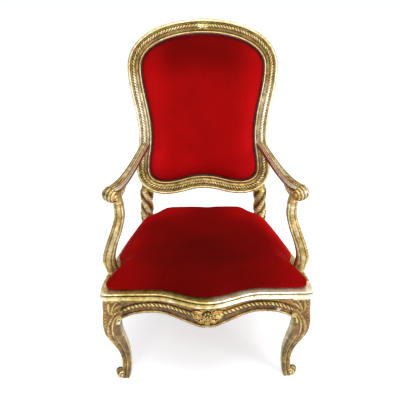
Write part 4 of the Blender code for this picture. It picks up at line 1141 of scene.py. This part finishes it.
def side_rail(skin, side):
    share = stations(0.0, 1.0, 0.0052)
    place = side_line(share)
    low, high = np.clip(share - 0.02, 0, 1), np.clip(share + 0.02, 0, 1)
    along = unit(side_line(high) - side_line(low))
    out_way = np.stack([along[:, 1], -along[:, 0]], 1)
    blend_in = (smooth(0, 0.03, share) * (1 - smooth(0.97, 1.0, share)))[:, None]
    out_way = unit(mix(np.array([[1.0, 0.0]]), out_way, blend_in))
    drop = SIDE_RAIL_HEIGHT + SIDE_RAIL_SPRING * (2 * np.abs(share - 0.45)) ** 3
    rope = drop - SIDE_ROPE_AT
    field = [(0.0, -4.0, 0.0), (0.12, -4.1, 0.4), (0.9, -4.1, 0.4), (1.0, -4.6, 0.0)]
    foot = [
        (18.3, -5.0, 0.0), (14.5, -5.4, 0.25), (9.6, -4.4, 0.2), (8.6, 0.0, 0.7), (6.4, 1.9, 1.0),
        (3.4, 1.7, 0.95), (1.0, 0.6, 0.7), (0.0, -1.0, 0.4), (0.0, -6.0, 0.3),
    ]
    columns = [(down / 1000, 0.83 * out / 1000, worth) for down, out, worth in softened(TOP_MOULDING, 2)]
    for part, out, worth in softened(field, 1):
        columns.append((mix(MOULDING_FOOT, rope - SIDE_ROPE_HALF, part), out / 1000, worth))
    for t in np.sin(np.linspace(1, -1, 13)[1:-1] * math.pi / 2):
        body = math.sqrt(1 - t * t)
        cut = strand(share * SIDE_RAIL_LENGTH / SIDE_ROPE_PITCH - 0.55 * t, 1.7)
        out = -0.0048 + 0.0066 * body * (0.45 + 0.55 * cut)
        columns.append((rope - t * SIDE_ROPE_HALF, out, 0.05 + 0.95 * body * cut))
    for rise, out, worth in softened(foot, 2):
        columns.append((drop - rise / 1000, out / 1000, worth))
    columns.append((drop, -SIDE_RAIL_THICKNESS, HIDDEN_RELIEF))
    columns.append((0.0, -SIDE_RAIL_THICKNESS, HIDDEN_RELIEF))
    down, out, worth = column_nets(columns, len(share))
    points = net(place[:, :1] + out_way[:, :1] * out, place[:, 1:] + out_way[:, 1:] * out, SEAT_TOP - down)
    # The end faces meet the leg and the post flat
    points[..., 1] = np.clip(points[..., 1], 2 * BLOCK + GAP, SEAT_DEPTH - GAP)
    skin.sheet(sided(points, side), worth, np.where(worth < 0.45, 0.3, -0.1), ring=True, ends=True)


gild_pair(side_rail, "side_rail")


def back_rail():
    skin = Skin()
    half = POST_X - POST_WIDTH / 2 - GAP
    x = stations(-half, half, 0.004)
    low = BACK_RAIL_HEIGHT + BACK_RAIL_SPRING * (np.abs(x) / half) ** 3
    depth, edge = BACK_RAIL_THICKNESS, 0.0025
    # Place to the rear, share of the rail's height, and distance below that
    section = softened_ring([
        (0, 0, 0), (depth - edge, 0, 0), (depth, 0, edge), (depth, 0.5, 0), (depth, 1, -2 * edge),
        (depth + 0.002, 1, -0.8 * edge), (depth - edge, 1, 0), (0, 1, 0),
    ], 2)
    y = SEAT_DEPTH + BACK_RAIL_INSET + section[None, :, 0]
    z = SEAT_TOP - section[None, :, 1] * low[:, None] - section[None, :, 2]
    skin.sheet(net(x[:, None], y, z), 0.5, ring=True, ends=True)
    gild(skin, "back_rail_gilded", "back_rail")


back_rail()


# Front legs

# The leg's way down: share of its height, then as shares of the block its middle's place outwards and
# forwards and its reach, and its section from the block's (0) to the leg's (1)
LEG_CURVE = (
    (0.232, 0.133, 0.133, 1.381, 0.15),
    (0.309, 0.247, 0.240, 1.310, 0.40),
    (0.381, 0.240, 0.220, 1.247, 0.70),
    (0.464, 0.107, 0.100, 1.147, 1.0),
    (0.546, -0.247, -0.107, 1.020, 1.0),
    (0.619, -0.560, -0.253, 0.880, 1.0),
    (0.683, -0.807, -0.333, 0.773, 1.0),
    (0.773, -1.000, -0.333, 0.660, 1.0),
    (0.889, -0.967, -0.200, 0.633, 1.0),
    (0.959, -0.867, -0.033, 0.617, 1.0),
    (1.0, -0.833, 0.033, 0.500, 1.0),
)
# Half of the block's and of the leg's section, from the outer corner to the inner one
LEG_SECTION = (
    ((0.88, 0.00), (1.00, 0.00)),
    ((0.80, 0.17), (0.90, 0.12)),
    ((0.62, 0.38), (0.66, 0.30)),
    ((0.50, 0.50), (0.46, 0.52)),
    ((0.12, 0.88), (0.16, 0.86)),
    ((0.00, 1.00), (0.06, 1.04)),
    ((-0.40, 0.60), (-0.62, 0.78)),
    ((-0.70, 0.30), (-0.98, 0.44)),
    ((-1.00, 0.00), (-1.10, 0.00)),
)


def leg_section(shape, count=116):
    """The whole section, for the block (0) or the leg (1), as rows (along the diagonal, across it)."""
    half = [pair[shape] for pair in LEG_SECTION]
    ring = half + [(along, -across) for along, across in half[-2:0:-1]]
    line = softened_ring(ring, 3 if shape else 1)
    start = np.argmin(np.abs(np.arctan2(line[:, 1], line[:, 0])))
    return evened(np.roll(line, -start, 0), count, ring=True)


KNEE_RADIUS = 0.038


def stroke(angle, z, radius, line, half, pitch=0.0):
    """A carved stroke on a leg, 1 along its crest: a line of (degrees from the outer corner, height), drawn
    on both sides of that corner; pitch makes it a row of beads."""
    path = softened([(math.radians(a) * KNEE_RADIUS, h) for a, h in line], 2)
    path = evened(path, 130)
    step = np.linalg.norm(path[1] - path[0])
    turn = np.abs(angle)
    nearest, at = np.full(angle.shape, 1.0), np.zeros(angle.shape)
    for k, (a, h) in enumerate(path):
        far = np.hypot((turn - a / KNEE_RADIUS) * radius, z - h)
        at = np.where(far < nearest, k, at)
        nearest = np.minimum(far, nearest)
    body = np.sqrt(np.clip(1 - (nearest / half) ** 2, 0, 1))
    body = body * np.sin(math.pi * np.clip(0.06 + 0.88 * at / (len(path) - 1), 0, 1)) ** 0.35
    return body * strand(at * step / pitch, 2.0) if pitch else body


# The strokes of the knee: line, half width, rise, pitch of its beads
KNEE = [
    ([(89, 0.318), (60, 0.302), (38, 0.277), (22, 0.245), (13, 0.200), (9, 0.165)], 0.0042, 0.0040, 0.0078),
    ([(89, 0.304), (66, 0.286), (54, 0.258), (48, 0.215), (42, 0.170)], 0.0032, 0.0030, 0.0),
    ([(86, 0.297), (80, 0.280), (77, 0.262)], 0.0030, 0.0026, 0.0),
    ([(74, 0.350), (62, 0.343), (50, 0.330), (44, 0.312), (52, 0.305)], 0.0042, 0.0036, 0.0),
    ([(30, 0.352), (24, 0.334), (28, 0.316), (38, 0.308)], 0.0042, 0.0036, 0.0),
    ([(84, 0.338), (70, 0.330), (58, 0.318)], 0.0034, 0.0028, 0.0),
]


HEAD_FOOT = 0.0272
SCALE = 0.0125
# Below the seat's top, how far the leg meets the rails in flat faces, and stays out of their place
JOINT_FLAT = 0.104
JOINT_CLEAR = 0.125


def front_leg(skin, side):
    diagonal = np.array([1, -1, 0]) / math.sqrt(2)
    sideways = np.array([1, 1, 0]) / math.sqrt(2)
    middle = np.array([SEAT_HALF_WIDTH - BLOCK, BLOCK, 0])
    block = BLOCK * math.sqrt(2)
    # Moulded head of the block
    head = softened(TOP_MOULDING, 2)[3:]
    rows = [(down / 1000, 0.0, 0.0, block + out / 1000 * math.sqrt(2), 0.0) for down, out, _ in head]
    below = stations(HEAD_FOOT, SEAT_TOP, 0.0017)
    relief = np.concatenate([head[:, 2], np.full(len(below), 0.55)])
    table = [
        (HEAD_FOOT / SEAT_TOP, 0.0, 0.0, block / BLOCK - 0.03, 0.0),
        (0.034 / SEAT_TOP, 0.0, 0.0, block / BLOCK - 0.02, 0.0),
        *LEG_CURVE,
    ]
    curve = read_curve(table, below / SEAT_TOP)
    for down, (outwards, forwards, reach, shape) in zip(below, curve):
        rows.append((down, outwards * BLOCK, forwards * BLOCK, reach * BLOCK, min(max(shape, 0.0), 1.0)))
    rows = np.array(rows)
    down, outwards, forwards, reach, shape = rows.T
    section = mix(leg_section(0)[None], leg_section(1)[None], shape[:, None, None])
    along, across = section[..., 0] * reach[:, None], section[..., 1] * reach[:, None]
    angle = np.arctan2(section[..., 1], section[..., 0])
    depth = down[:, None] / SEAT_TOP
    below_head = smooth(0.085, 0.105, depth)
    # The knee: the rope of the rails ends in a row of beads that runs down to the outer corner, with leafy
    # strokes above and beside it and scales over the corner itself
    z = SEAT_TOP - down[:, None] + 0 * angle
    turn = np.degrees(np.abs(angle))
    radius = np.hypot(along, across)
    fade = 1 - smooth(0.40, 0.60, depth)
    sunk = smooth(46, 70, turn) * (1 - smooth(0.26, 0.34, depth)) * below_head
    around = angle * radius
    scales = strand((z + around) / SCALE, 1.7) * strand((z - around) / SCALE, 1.7)
    on_corner = hill(turn, 0, 34) * below_head * (1 - smooth(0.36, 0.50, depth))
    lift = 0.0028 * on_corner * (scales - 0.35)
    worth = mix(relief[:, None], 0.30, smooth(0.10, 0.5, depth))
    worth = mix(worth, 0.22, below_head * fade * (turn < 100))
    worth = mix(worth, 0.05 + 0.65 * scales, np.clip(1.4 * on_corner, 0, 1))
    drawn = 0 * angle
    for line, half, rise, pitch in KNEE:
        body = stroke(angle, z, radius, line, half, pitch)
        lift = lift + rise * body * below_head
        drawn = np.maximum(drawn, body * below_head)
    worth = mix(worth, 0.25 + 0.50 * drawn, smooth(0.05, 0.6, drawn))
    # A ridge runs down the outer corner and a bead down each edge to the foot
    bead_at = mix(1.18, 0.98, smooth(0.3, 0.7, depth))
    below_knee = smooth(0.40, 0.54, depth)
    bead = np.exp(-(((np.abs(angle) - bead_at) / 0.12) ** 2)) * below_knee
    groove = np.exp(-(((np.abs(angle) - bead_at + 0.26) / 0.09) ** 2)) * below_knee
    ridge = np.exp(-((angle / 0.11) ** 2)) * smooth(0.50, 0.60, depth)
    edge = stroke(angle, z, radius, [(97, 0.284), (96, 0.262), (95, 0.225), (92, 0.170)], 0.0034)
    lift = lift + 0.0013 * bead - 0.0012 * groove + 0.0010 * ridge + 0.0016 * edge
    worth = np.clip(worth + 0.30 * bead - 0.40 * groove + 0.30 * ridge + 0.1 * edge, 0, 1)
    clay = below_head * fade * (turn < 96)
    tint = clay * (0.65 - 0.55 * smooth(0.2, 0.7, drawn)) + 0.10 * (1 - fade)
    # The head's face is pale at its outer corner; away from it the face is olive on the left leg and carries a
    # painted highlight on the right one, towards the light
    face_tint = -0.15 if side < 0 else -0.85
    tint = tint + (1 - below_head) * mix(-0.75, face_tint, smooth(8, 40, turn))
    # Painted light: the inner back of the leg from the knee down is painted pale, as lit by the bright room.
    inside = smooth(100, 116, turn) * smooth(0.24, 0.42, depth)
    worth, tint = mix(worth, 0.42, inside), mix(tint, -0.85, inside)
    outer = unit(section)
    along, across = along + outer[..., 0] * lift, across + outer[..., 1] * lift
    centre = middle + np.stack([outwards, -forwards, SEAT_TOP - down], 1)
    points = centre[:, None, :] + diagonal * along[..., None] + sideways * across[..., None]
    # The fields of the front and the side face lie as deep as the rails' own where they meet them
    points[..., 0] -= 0.0036 * sunk * (angle > 0)
    points[..., 1] += 0.0036 * sunk * (angle < 0)
    inner = SEAT_HALF_WIDTH - 2 * BLOCK
    keep = (down < JOINT_CLEAR)[:, None]
    edge = (down < JOINT_FLAT)[:, None] & (np.abs(turn - 90) < 8)
    points[..., 0] = np.where(edge & (angle < 0), inner, points[..., 0])
    points[..., 1] = np.where(edge & (angle > 0), 2 * BLOCK, points[..., 1])
    points[..., 0] = np.where(keep, np.maximum(points[..., 0], inner), points[..., 0])
    points[..., 1] = np.where(keep, np.minimum(points[..., 1], 2 * BLOCK), points[..., 1])
    points[..., 2] = np.maximum(points[..., 2], 0.0)
    skin.sheet(sided(points, side), worth, tint, ring=True, ends=True)
    toe = middle + np.array([-TOE_IN, 0, TOE_RADIUS + TOE_LIFT])
    axis = (math.sin(TOE_TURN), math.cos(TOE_TURN), 0)
    front = (math.cos(TOE_TURN), -math.sin(TOE_TURN), 0)
    spiral_drum(skin, toe, axis, front, TOE_RADIUS, TOE_WIDTH, 0.1, 1.5, side, 0.08, (0.3, 0.2))


gild_pair(front_leg, "front_leg")


# Upholstery

CUSHION_INSET = 0.006
CUSHION_CORNER = 0.015
CUSHION_CROWN = 0.080
CUSHION_CLEARANCE = 0.002
CUSHION_TONGUE = 0.047


def cushion_outline():
    """The plan of the seat cushion, drawn in round the arm supports and the posts."""
    front_end = SEAT_HALF_WIDTH - CUSHION_INSET
    line = []
    for k in range(25):
        x = (front_end - CUSHION_CORNER) * k / 24
        line.append((x, CUSHION_INSET - float(bow(x))))
    for turn in np.array([0.25, 0.5, 0.75]) * math.pi / 2:
        x = front_end - CUSHION_CORNER * (1 - math.sin(turn))
        line.append((x, CUSHION_INSET + CUSHION_CORNER * (1 - math.cos(turn))))
    clear = SUPPORT_X - SUPPORT_FOOT[0] / 2 - CUSHION_CLEARANCE
    block = 2 * BLOCK
    for y in np.linspace(CUSHION_INSET + CUSHION_CORNER, SEAT_DEPTH - 4 * CUSHION_INSET, 40):
        rail = side_line([max((y - block) / (SEAT_DEPTH - block), 0.0)])[0, 0]
        half_foot = SUPPORT_FOOT[1] * 0.56
        before, beyond = max(SUPPORT_Y - half_foot - y, 0.0), max(y - SUPPORT_Y - half_foot, 0.0)
        line.append((min(rail - CUSHION_INSET, clear + 1.2 * before + 0.35 * beyond), y))
    inside = POST_X - POST_WIDTH / 2 - 3 * CUSHION_CLEARANCE
    behind = SEAT_DEPTH + CUSHION_TONGUE
    line += [
        (POST_X + CUSHION_INSET, SEAT_DEPTH - 3 * CUSHION_CLEARANCE),
        (inside, SEAT_DEPTH - CUSHION_CLEARANCE),
        (inside, SEAT_DEPTH + CUSHION_TONGUE * 0.6),
        (inside - CUSHION_INSET, behind - CUSHION_CLEARANCE),
        (inside * 0.5, behind),
        (0.0, behind),
    ]
    return line + [(-x, y) for x, y in line[-2:0:-1]]


def cushion_net(ring, centre, table):
    """A closed pad: the plan line at each row (share of its width and of its length kept, height) of the
    table, up to a point. The line rounds off towards the top."""
    line = evened(softened_ring(ring, 1), 300, ring=True)
    rounded = line
    for _ in range(36):
        rounded = 0.5 * rounded + 0.25 * (np.roll(rounded, 1, 0) + np.roll(rounded, -1, 0))
    rows = evened(softened(table, 2), 30)
    last = np.array([[0.02, 0.02, rows[-1, 2] * 1.004]])
    rows = np.concatenate([rows, mix(rows[-1:], last, np.linspace(0, 1, 16)[1:, None])])
    share = smooth(0.08, 0.50, rows[:, 2] / rows[-1, 2])[:, None, None]
    plan = centre + (mix(line[None], rounded[None], share) - centre) * rows[:, None, :2]
    return net(plan[..., 0], plan[..., 1], SEAT_TOP + rows[:, 2][:, None])


def puffed(name, points, swell, cap, fineness, keep=lambda points: points):
    """The pad as a soft mesh filled from inside: cloth under pressure, no point moving further than cap.
    keep(points) holds the result clear of what the pad rests on."""
    skin = Skin()
    skin.sheet(points, 0.5, ring=True, ends=True)
    mesh = bpy.data.meshes.new(name)
    mesh.from_pydata(np.concatenate(skin.points).tolist(), [], skin.faces)
    obj = bpy.data.objects.new(name, mesh)
    bpy.context.scene.collection.objects.link(obj)
    remesh = obj.modifiers.new("even", "REMESH")
    remesh.mode, remesh.voxel_size = "VOXEL", fineness
    apply_all(obj)
    start = coordinates(obj.data)
    cloth = obj.modifiers.new("fill", "CLOTH")
    settings = cloth.settings
    settings.quality = 6
    settings.use_pressure = True
    settings.uniform_pressure_force = swell
    settings.tension_stiffness = 12
    settings.compression_stiffness = 12
    settings.shear_stiffness = 6
    settings.bending_stiffness = 0.6
    settings.effector_weights.gravity = 0
    cloth.point_cache.frame_start, cloth.point_cache.frame_end = 1, 20
    for step in range(1, 21):
        bpy.context.scene.frame_set(step)
    apply_all(obj)
    bpy.context.scene.frame_set(1)
    moved = coordinates(obj.data) - start
    far = np.linalg.norm(moved, axis=1, keepdims=True)
    start = start + moved * np.minimum(1, cap / np.maximum(far, 1e-9))
    obj.data.vertices.foreach_set("co", keep(start).reshape(-1))
    divide = obj.modifiers.new("smooth", "SUBSURF")
    divide.levels = divide.render_levels = 1
    apply_all(obj)
    final = keep(coordinates(obj.data))
    obj.data.vertices.foreach_set("co", (final - np.array([0, CENTRE_Y, 0])).reshape(-1))
    obj.data.update()
    obj.data.shade_smooth()
    return obj, final


def coordinates(mesh):
    flat = np.empty(len(mesh.vertices) * 3)
    mesh.vertices.foreach_get("co", flat)
    return flat.reshape(-1, 3)


def apply_all(obj):
    graph = bpy.context.evaluated_depsgraph_get()
    mesh = bpy.data.meshes.new_from_object(obj.evaluated_get(graph))
    obj.modifiers.clear()
    obj.data = mesh


def cover(obj, pile_and_painted_light, node):
    obj.data.attributes.new("relief", "FLOAT", "POINT").data.foreach_set("value", pile_and_painted_light)
    obj.data.materials.clear()
    obj.data.materials.append(velvet)
    declare(obj, node)


# The seat cushion's sides: share of its width and of its length, share of its height
SEAT_TABLE = [
    (0.02, 0.02, 0.0), (0.60, 0.60, 0.0), (0.985, 0.985, 0.0), (1.018, 1.024, 0.03), (1.022, 1.028, 0.13),
    (0.986, 0.996, 0.34), (0.940, 0.968, 0.58), (0.885, 0.932, 0.80), (0.800, 0.870, 0.94), (0.46, 0.50, 1.0),
]


def seat_cushion():
    table = [(across, along, rise * (CUSHION_CROWN - 0.002) + GAP) for across, along, rise in SEAT_TABLE]
    points = cushion_net(cushion_outline(), np.array([0.0, SEAT_DEPTH * 0.54]), table)

    def keep(p):
        """On the rails, and clear of the arm supports and of the posts, which lean away from it."""
        x, y, z = p.T
        z = np.clip(z, SEAT_TOP + 2 * GAP, SEAT_TOP + CUSHION_CROWN + 0.004)
        away = np.maximum(np.abs(y - SUPPORT_Y) - SUPPORT_FOOT[1] / 2 - 0.003, 0)
        clear = SUPPORT_X - SUPPORT_FOOT[0] / 2 - 0.0025 + 1.3 * away + 0.06 * (z - SEAT_TOP)
        across = np.minimum(np.abs(x), clear)
        beside = across > POST_X - POST_WIDTH / 2 - 0.004
        behind = SEAT_DEPTH - 0.002 + (z - SEAT_TOP) * math.tan(LEAN)
        return net(np.sign(x) * across, np.where(beside, np.minimum(y, behind), y), z)

    obj, final = puffed("seat_cushion_velvet", points, 3.0, 0.006, 0.0088, keep)
    x, y, z = final.T
    # Painted light and shade of the pile: darker across the middle of the seat, a painted sheen along the rim
    # and the front lip, brighter on the +X side where the light comes from
    middle = np.exp(-((x / 0.23) ** 4) - (((y - 0.12) / 0.24) ** 2))
    lip = 1 - smooth(0.008, 0.024, z - SEAT_TOP)
    rear = smooth(0.30, 0.47, y) * smooth(0.02, 0.16, np.abs(x))
    beside = smooth(0.66, 1.0, np.abs(x) / (0.34 - 0.22 * y)) * smooth(0.02, 0.12, y)
    rim = rear + (1.25 + 0.45 * np.sign(x)) * beside
    pile_and_painted_light = np.clip(0.36 - 0.30 * middle + 0.20 * lip + 0.27 * rim, 0, 1)
    cover(obj, pile_and_painted_light, "seat_cushion")


PANEL_CENTRE = np.array([0.0, (DIP_UP + CREST_UP) / 2])
PANEL_RIM = -0.42 * FRAME_DEPTH
PANEL_CROWN = 0.024
LINING_THICKNESS = 0.005


def panel_net(rows):
    """The panel inside the frame by rows: share of its outline, and place out from the frame's face."""
    s = np.linspace(-outline.half, outline.half, 321)[:-1]
    line = outline.at(s) - outline.out(s) * (FRAME_WIDTH / 2 + 0.0004)
    plan = PANEL_CENTRE + (line[None] - PANEL_CENTRE) * rows[:, 0][:, None, None]
    return back_place(plan[..., 0], plan[..., 1], rows[:, 1][:, None])


def back_pad():
    rim, crown = PANEL_RIM, PANEL_CROWN
    table = [
        (0.02, rim - 0.014), (0.6, rim - 0.014), (0.99, rim - 0.014), (1.0, rim - 0.011), (1.0, rim - 0.002),
        (0.975, rim + 0.006), (0.92, rim + 0.62 * crown), (0.80, rim + 0.90 * crown), (0.62, rim + crown),
    ]
    rows = evened(softened(table, 2), 40)
    top = np.stack([np.linspace(rows[-1, 0], 0.02, 16)[1:], np.full(15, rows[-1, 1])], 1)
    obj, final = puffed("back_pad_velvet", panel_net(np.concatenate([rows, top])), 2.0, 0.004, 0.0095)
    x, _, z = final.T
    # Painted light and shade of the pile: brighter low down and at the sides, darker near the crest
    low, high, beside = 1 - smooth(0.55, 1.02, z), smooth(0.92, 1.12, z), smooth(0.10, 0.22, np.abs(x))
    pile_and_painted_light = np.clip(0.46 + 0.18 * low + 0.26 * beside - 0.24 * high, 0, 1)
    cover(obj, pile_and_painted_light, "back_pad")


def back_lining():
    skin = Skin()
    rear = 0.0015 - FRAME_DEPTH
    inside = rear + LINING_THICKNESS
    skin.sheet(panel_net(np.array([
        (0.02, rear), (0.5, rear), (0.97, rear), (0.995, rear + 0.0004), (1.0, rear + 0.0012),
        (1.0, inside), (0.6, inside), (0.02, inside),
    ])), 0.5, ring=True, ends=True)
    skin.piece("back_lining_cloth", lining_cloth, "red_velvet", "back_lining")


seat_cushion()
back_pad()
back_lining()


# Floor, light and camera


def backdrop_paper():
    made, tree, shader = principled("white_backdrop")
    colour = (0.81, 0.84, 0.86)
    tint = ramp(tree, noise(tree, 1.5, 3), [(0.3, tuple(0.985 * c for c in colour)), (0.7, colour)])
    link(tree, tint, shader.inputs["Base Color"])
    shader.inputs["Roughness"].default_value = 0.95
    shader.inputs["Specular IOR Level"].default_value = 0.1
    shader.inputs["Emission Color"].default_value = (0.94, 0.97, 1.0, 1)
    shader.inputs["Emission Strength"].default_value = 0.37
    return made


floor_mesh = bpy.data.meshes.new("floor")
floor_mesh.from_pydata([(-30, -12, 0), (30, -12, 0), (30, 48, 0), (-30, 48, 0)], [], [(0, 1, 2, 3)])
floor_mesh.materials.append(backdrop_paper())
floor = bpy.data.objects.new("floor", floor_mesh)
bpy.context.scene.collection.objects.link(floor)

# A studio ceiling that is bright above and to the right, over dark walls
world = bpy.data.worlds.new("studio")
bpy.context.scene.world = world
world.use_nodes = True
tree = world.node_tree
way = tree.nodes.new("ShaderNodeTexCoord").outputs["Generated"]
parts = tree.nodes.new("ShaderNodeSeparateXYZ")
link(tree, way, parts.inputs[0])
rise = calc(tree, "MULTIPLY_ADD", parts.outputs["Z"], 0.5, 0.5)
rise = calc(tree, "MULTIPLY_ADD", parts.outputs["X"], 0.05, rise)
sky = ramp(tree, rise, [
    (0.50, (0.16, 0.155, 0.15)), (0.62, (0.22, 0.215, 0.21)), (0.74, (0.62, 0.61, 0.60)),
    (0.86, (1.0, 1.0, 0.99)),
])
link(tree, sky, tree.nodes["Background"].inputs["Color"])
tree.nodes["Background"].inputs["Strength"].default_value = 1.0


def area(name, place, target, size, power, colour=(1, 1, 1)):
    light = bpy.data.lights.new(name, "AREA")
    light.shape, light.size, light.size_y = "RECTANGLE", size[0], size[1]
    light.energy, light.color = power, colour
    obj = bpy.data.objects.new(name, light)
    obj.location = place
    way = np.array(target, float) - np.array(place, float)
    flat = math.hypot(way[0], way[1])
    obj.rotation_euler = (math.atan2(flat, -way[2]), 0, math.atan2(way[0], -way[1]) + math.pi)
    bpy.context.scene.collection.objects.link(obj)


area("overhead", (0.3, -0.5, 3.0), (0, 0, 0.4), (2.2, 1.8), 46)
area("right_window", (2.2, -1.9, 1.7), (0, 0, 0.6), (1.2, 1.6), 36, (1.0, 0.98, 0.94))
area("front_fill", (-0.8, -3.2, 2.3), (0, 0, 0.6), (1.8, 1.2), 36, (1.0, 0.99, 0.97))

bpy.context.scene.view_settings.view_transform = "Standard"
camera_data = bpy.data.cameras.new("camera")
camera_data.lens, camera_data.sensor_width = 49.15, 36.0
camera = bpy.data.objects.new("camera", camera_data)
camera.location = (-0.045, -1.495 - CENTRE_Y, 1.461)
aim = Euler((math.radians(90 - 26.03), 0, math.radians(-0.88))).to_matrix()
camera.rotation_euler = (aim @ Matrix.Rotation(math.radians(-0.22), 3, "Z")).to_euler()
bpy.context.scene.collection.objects.link(camera)
bpy.context.scene.camera = camera
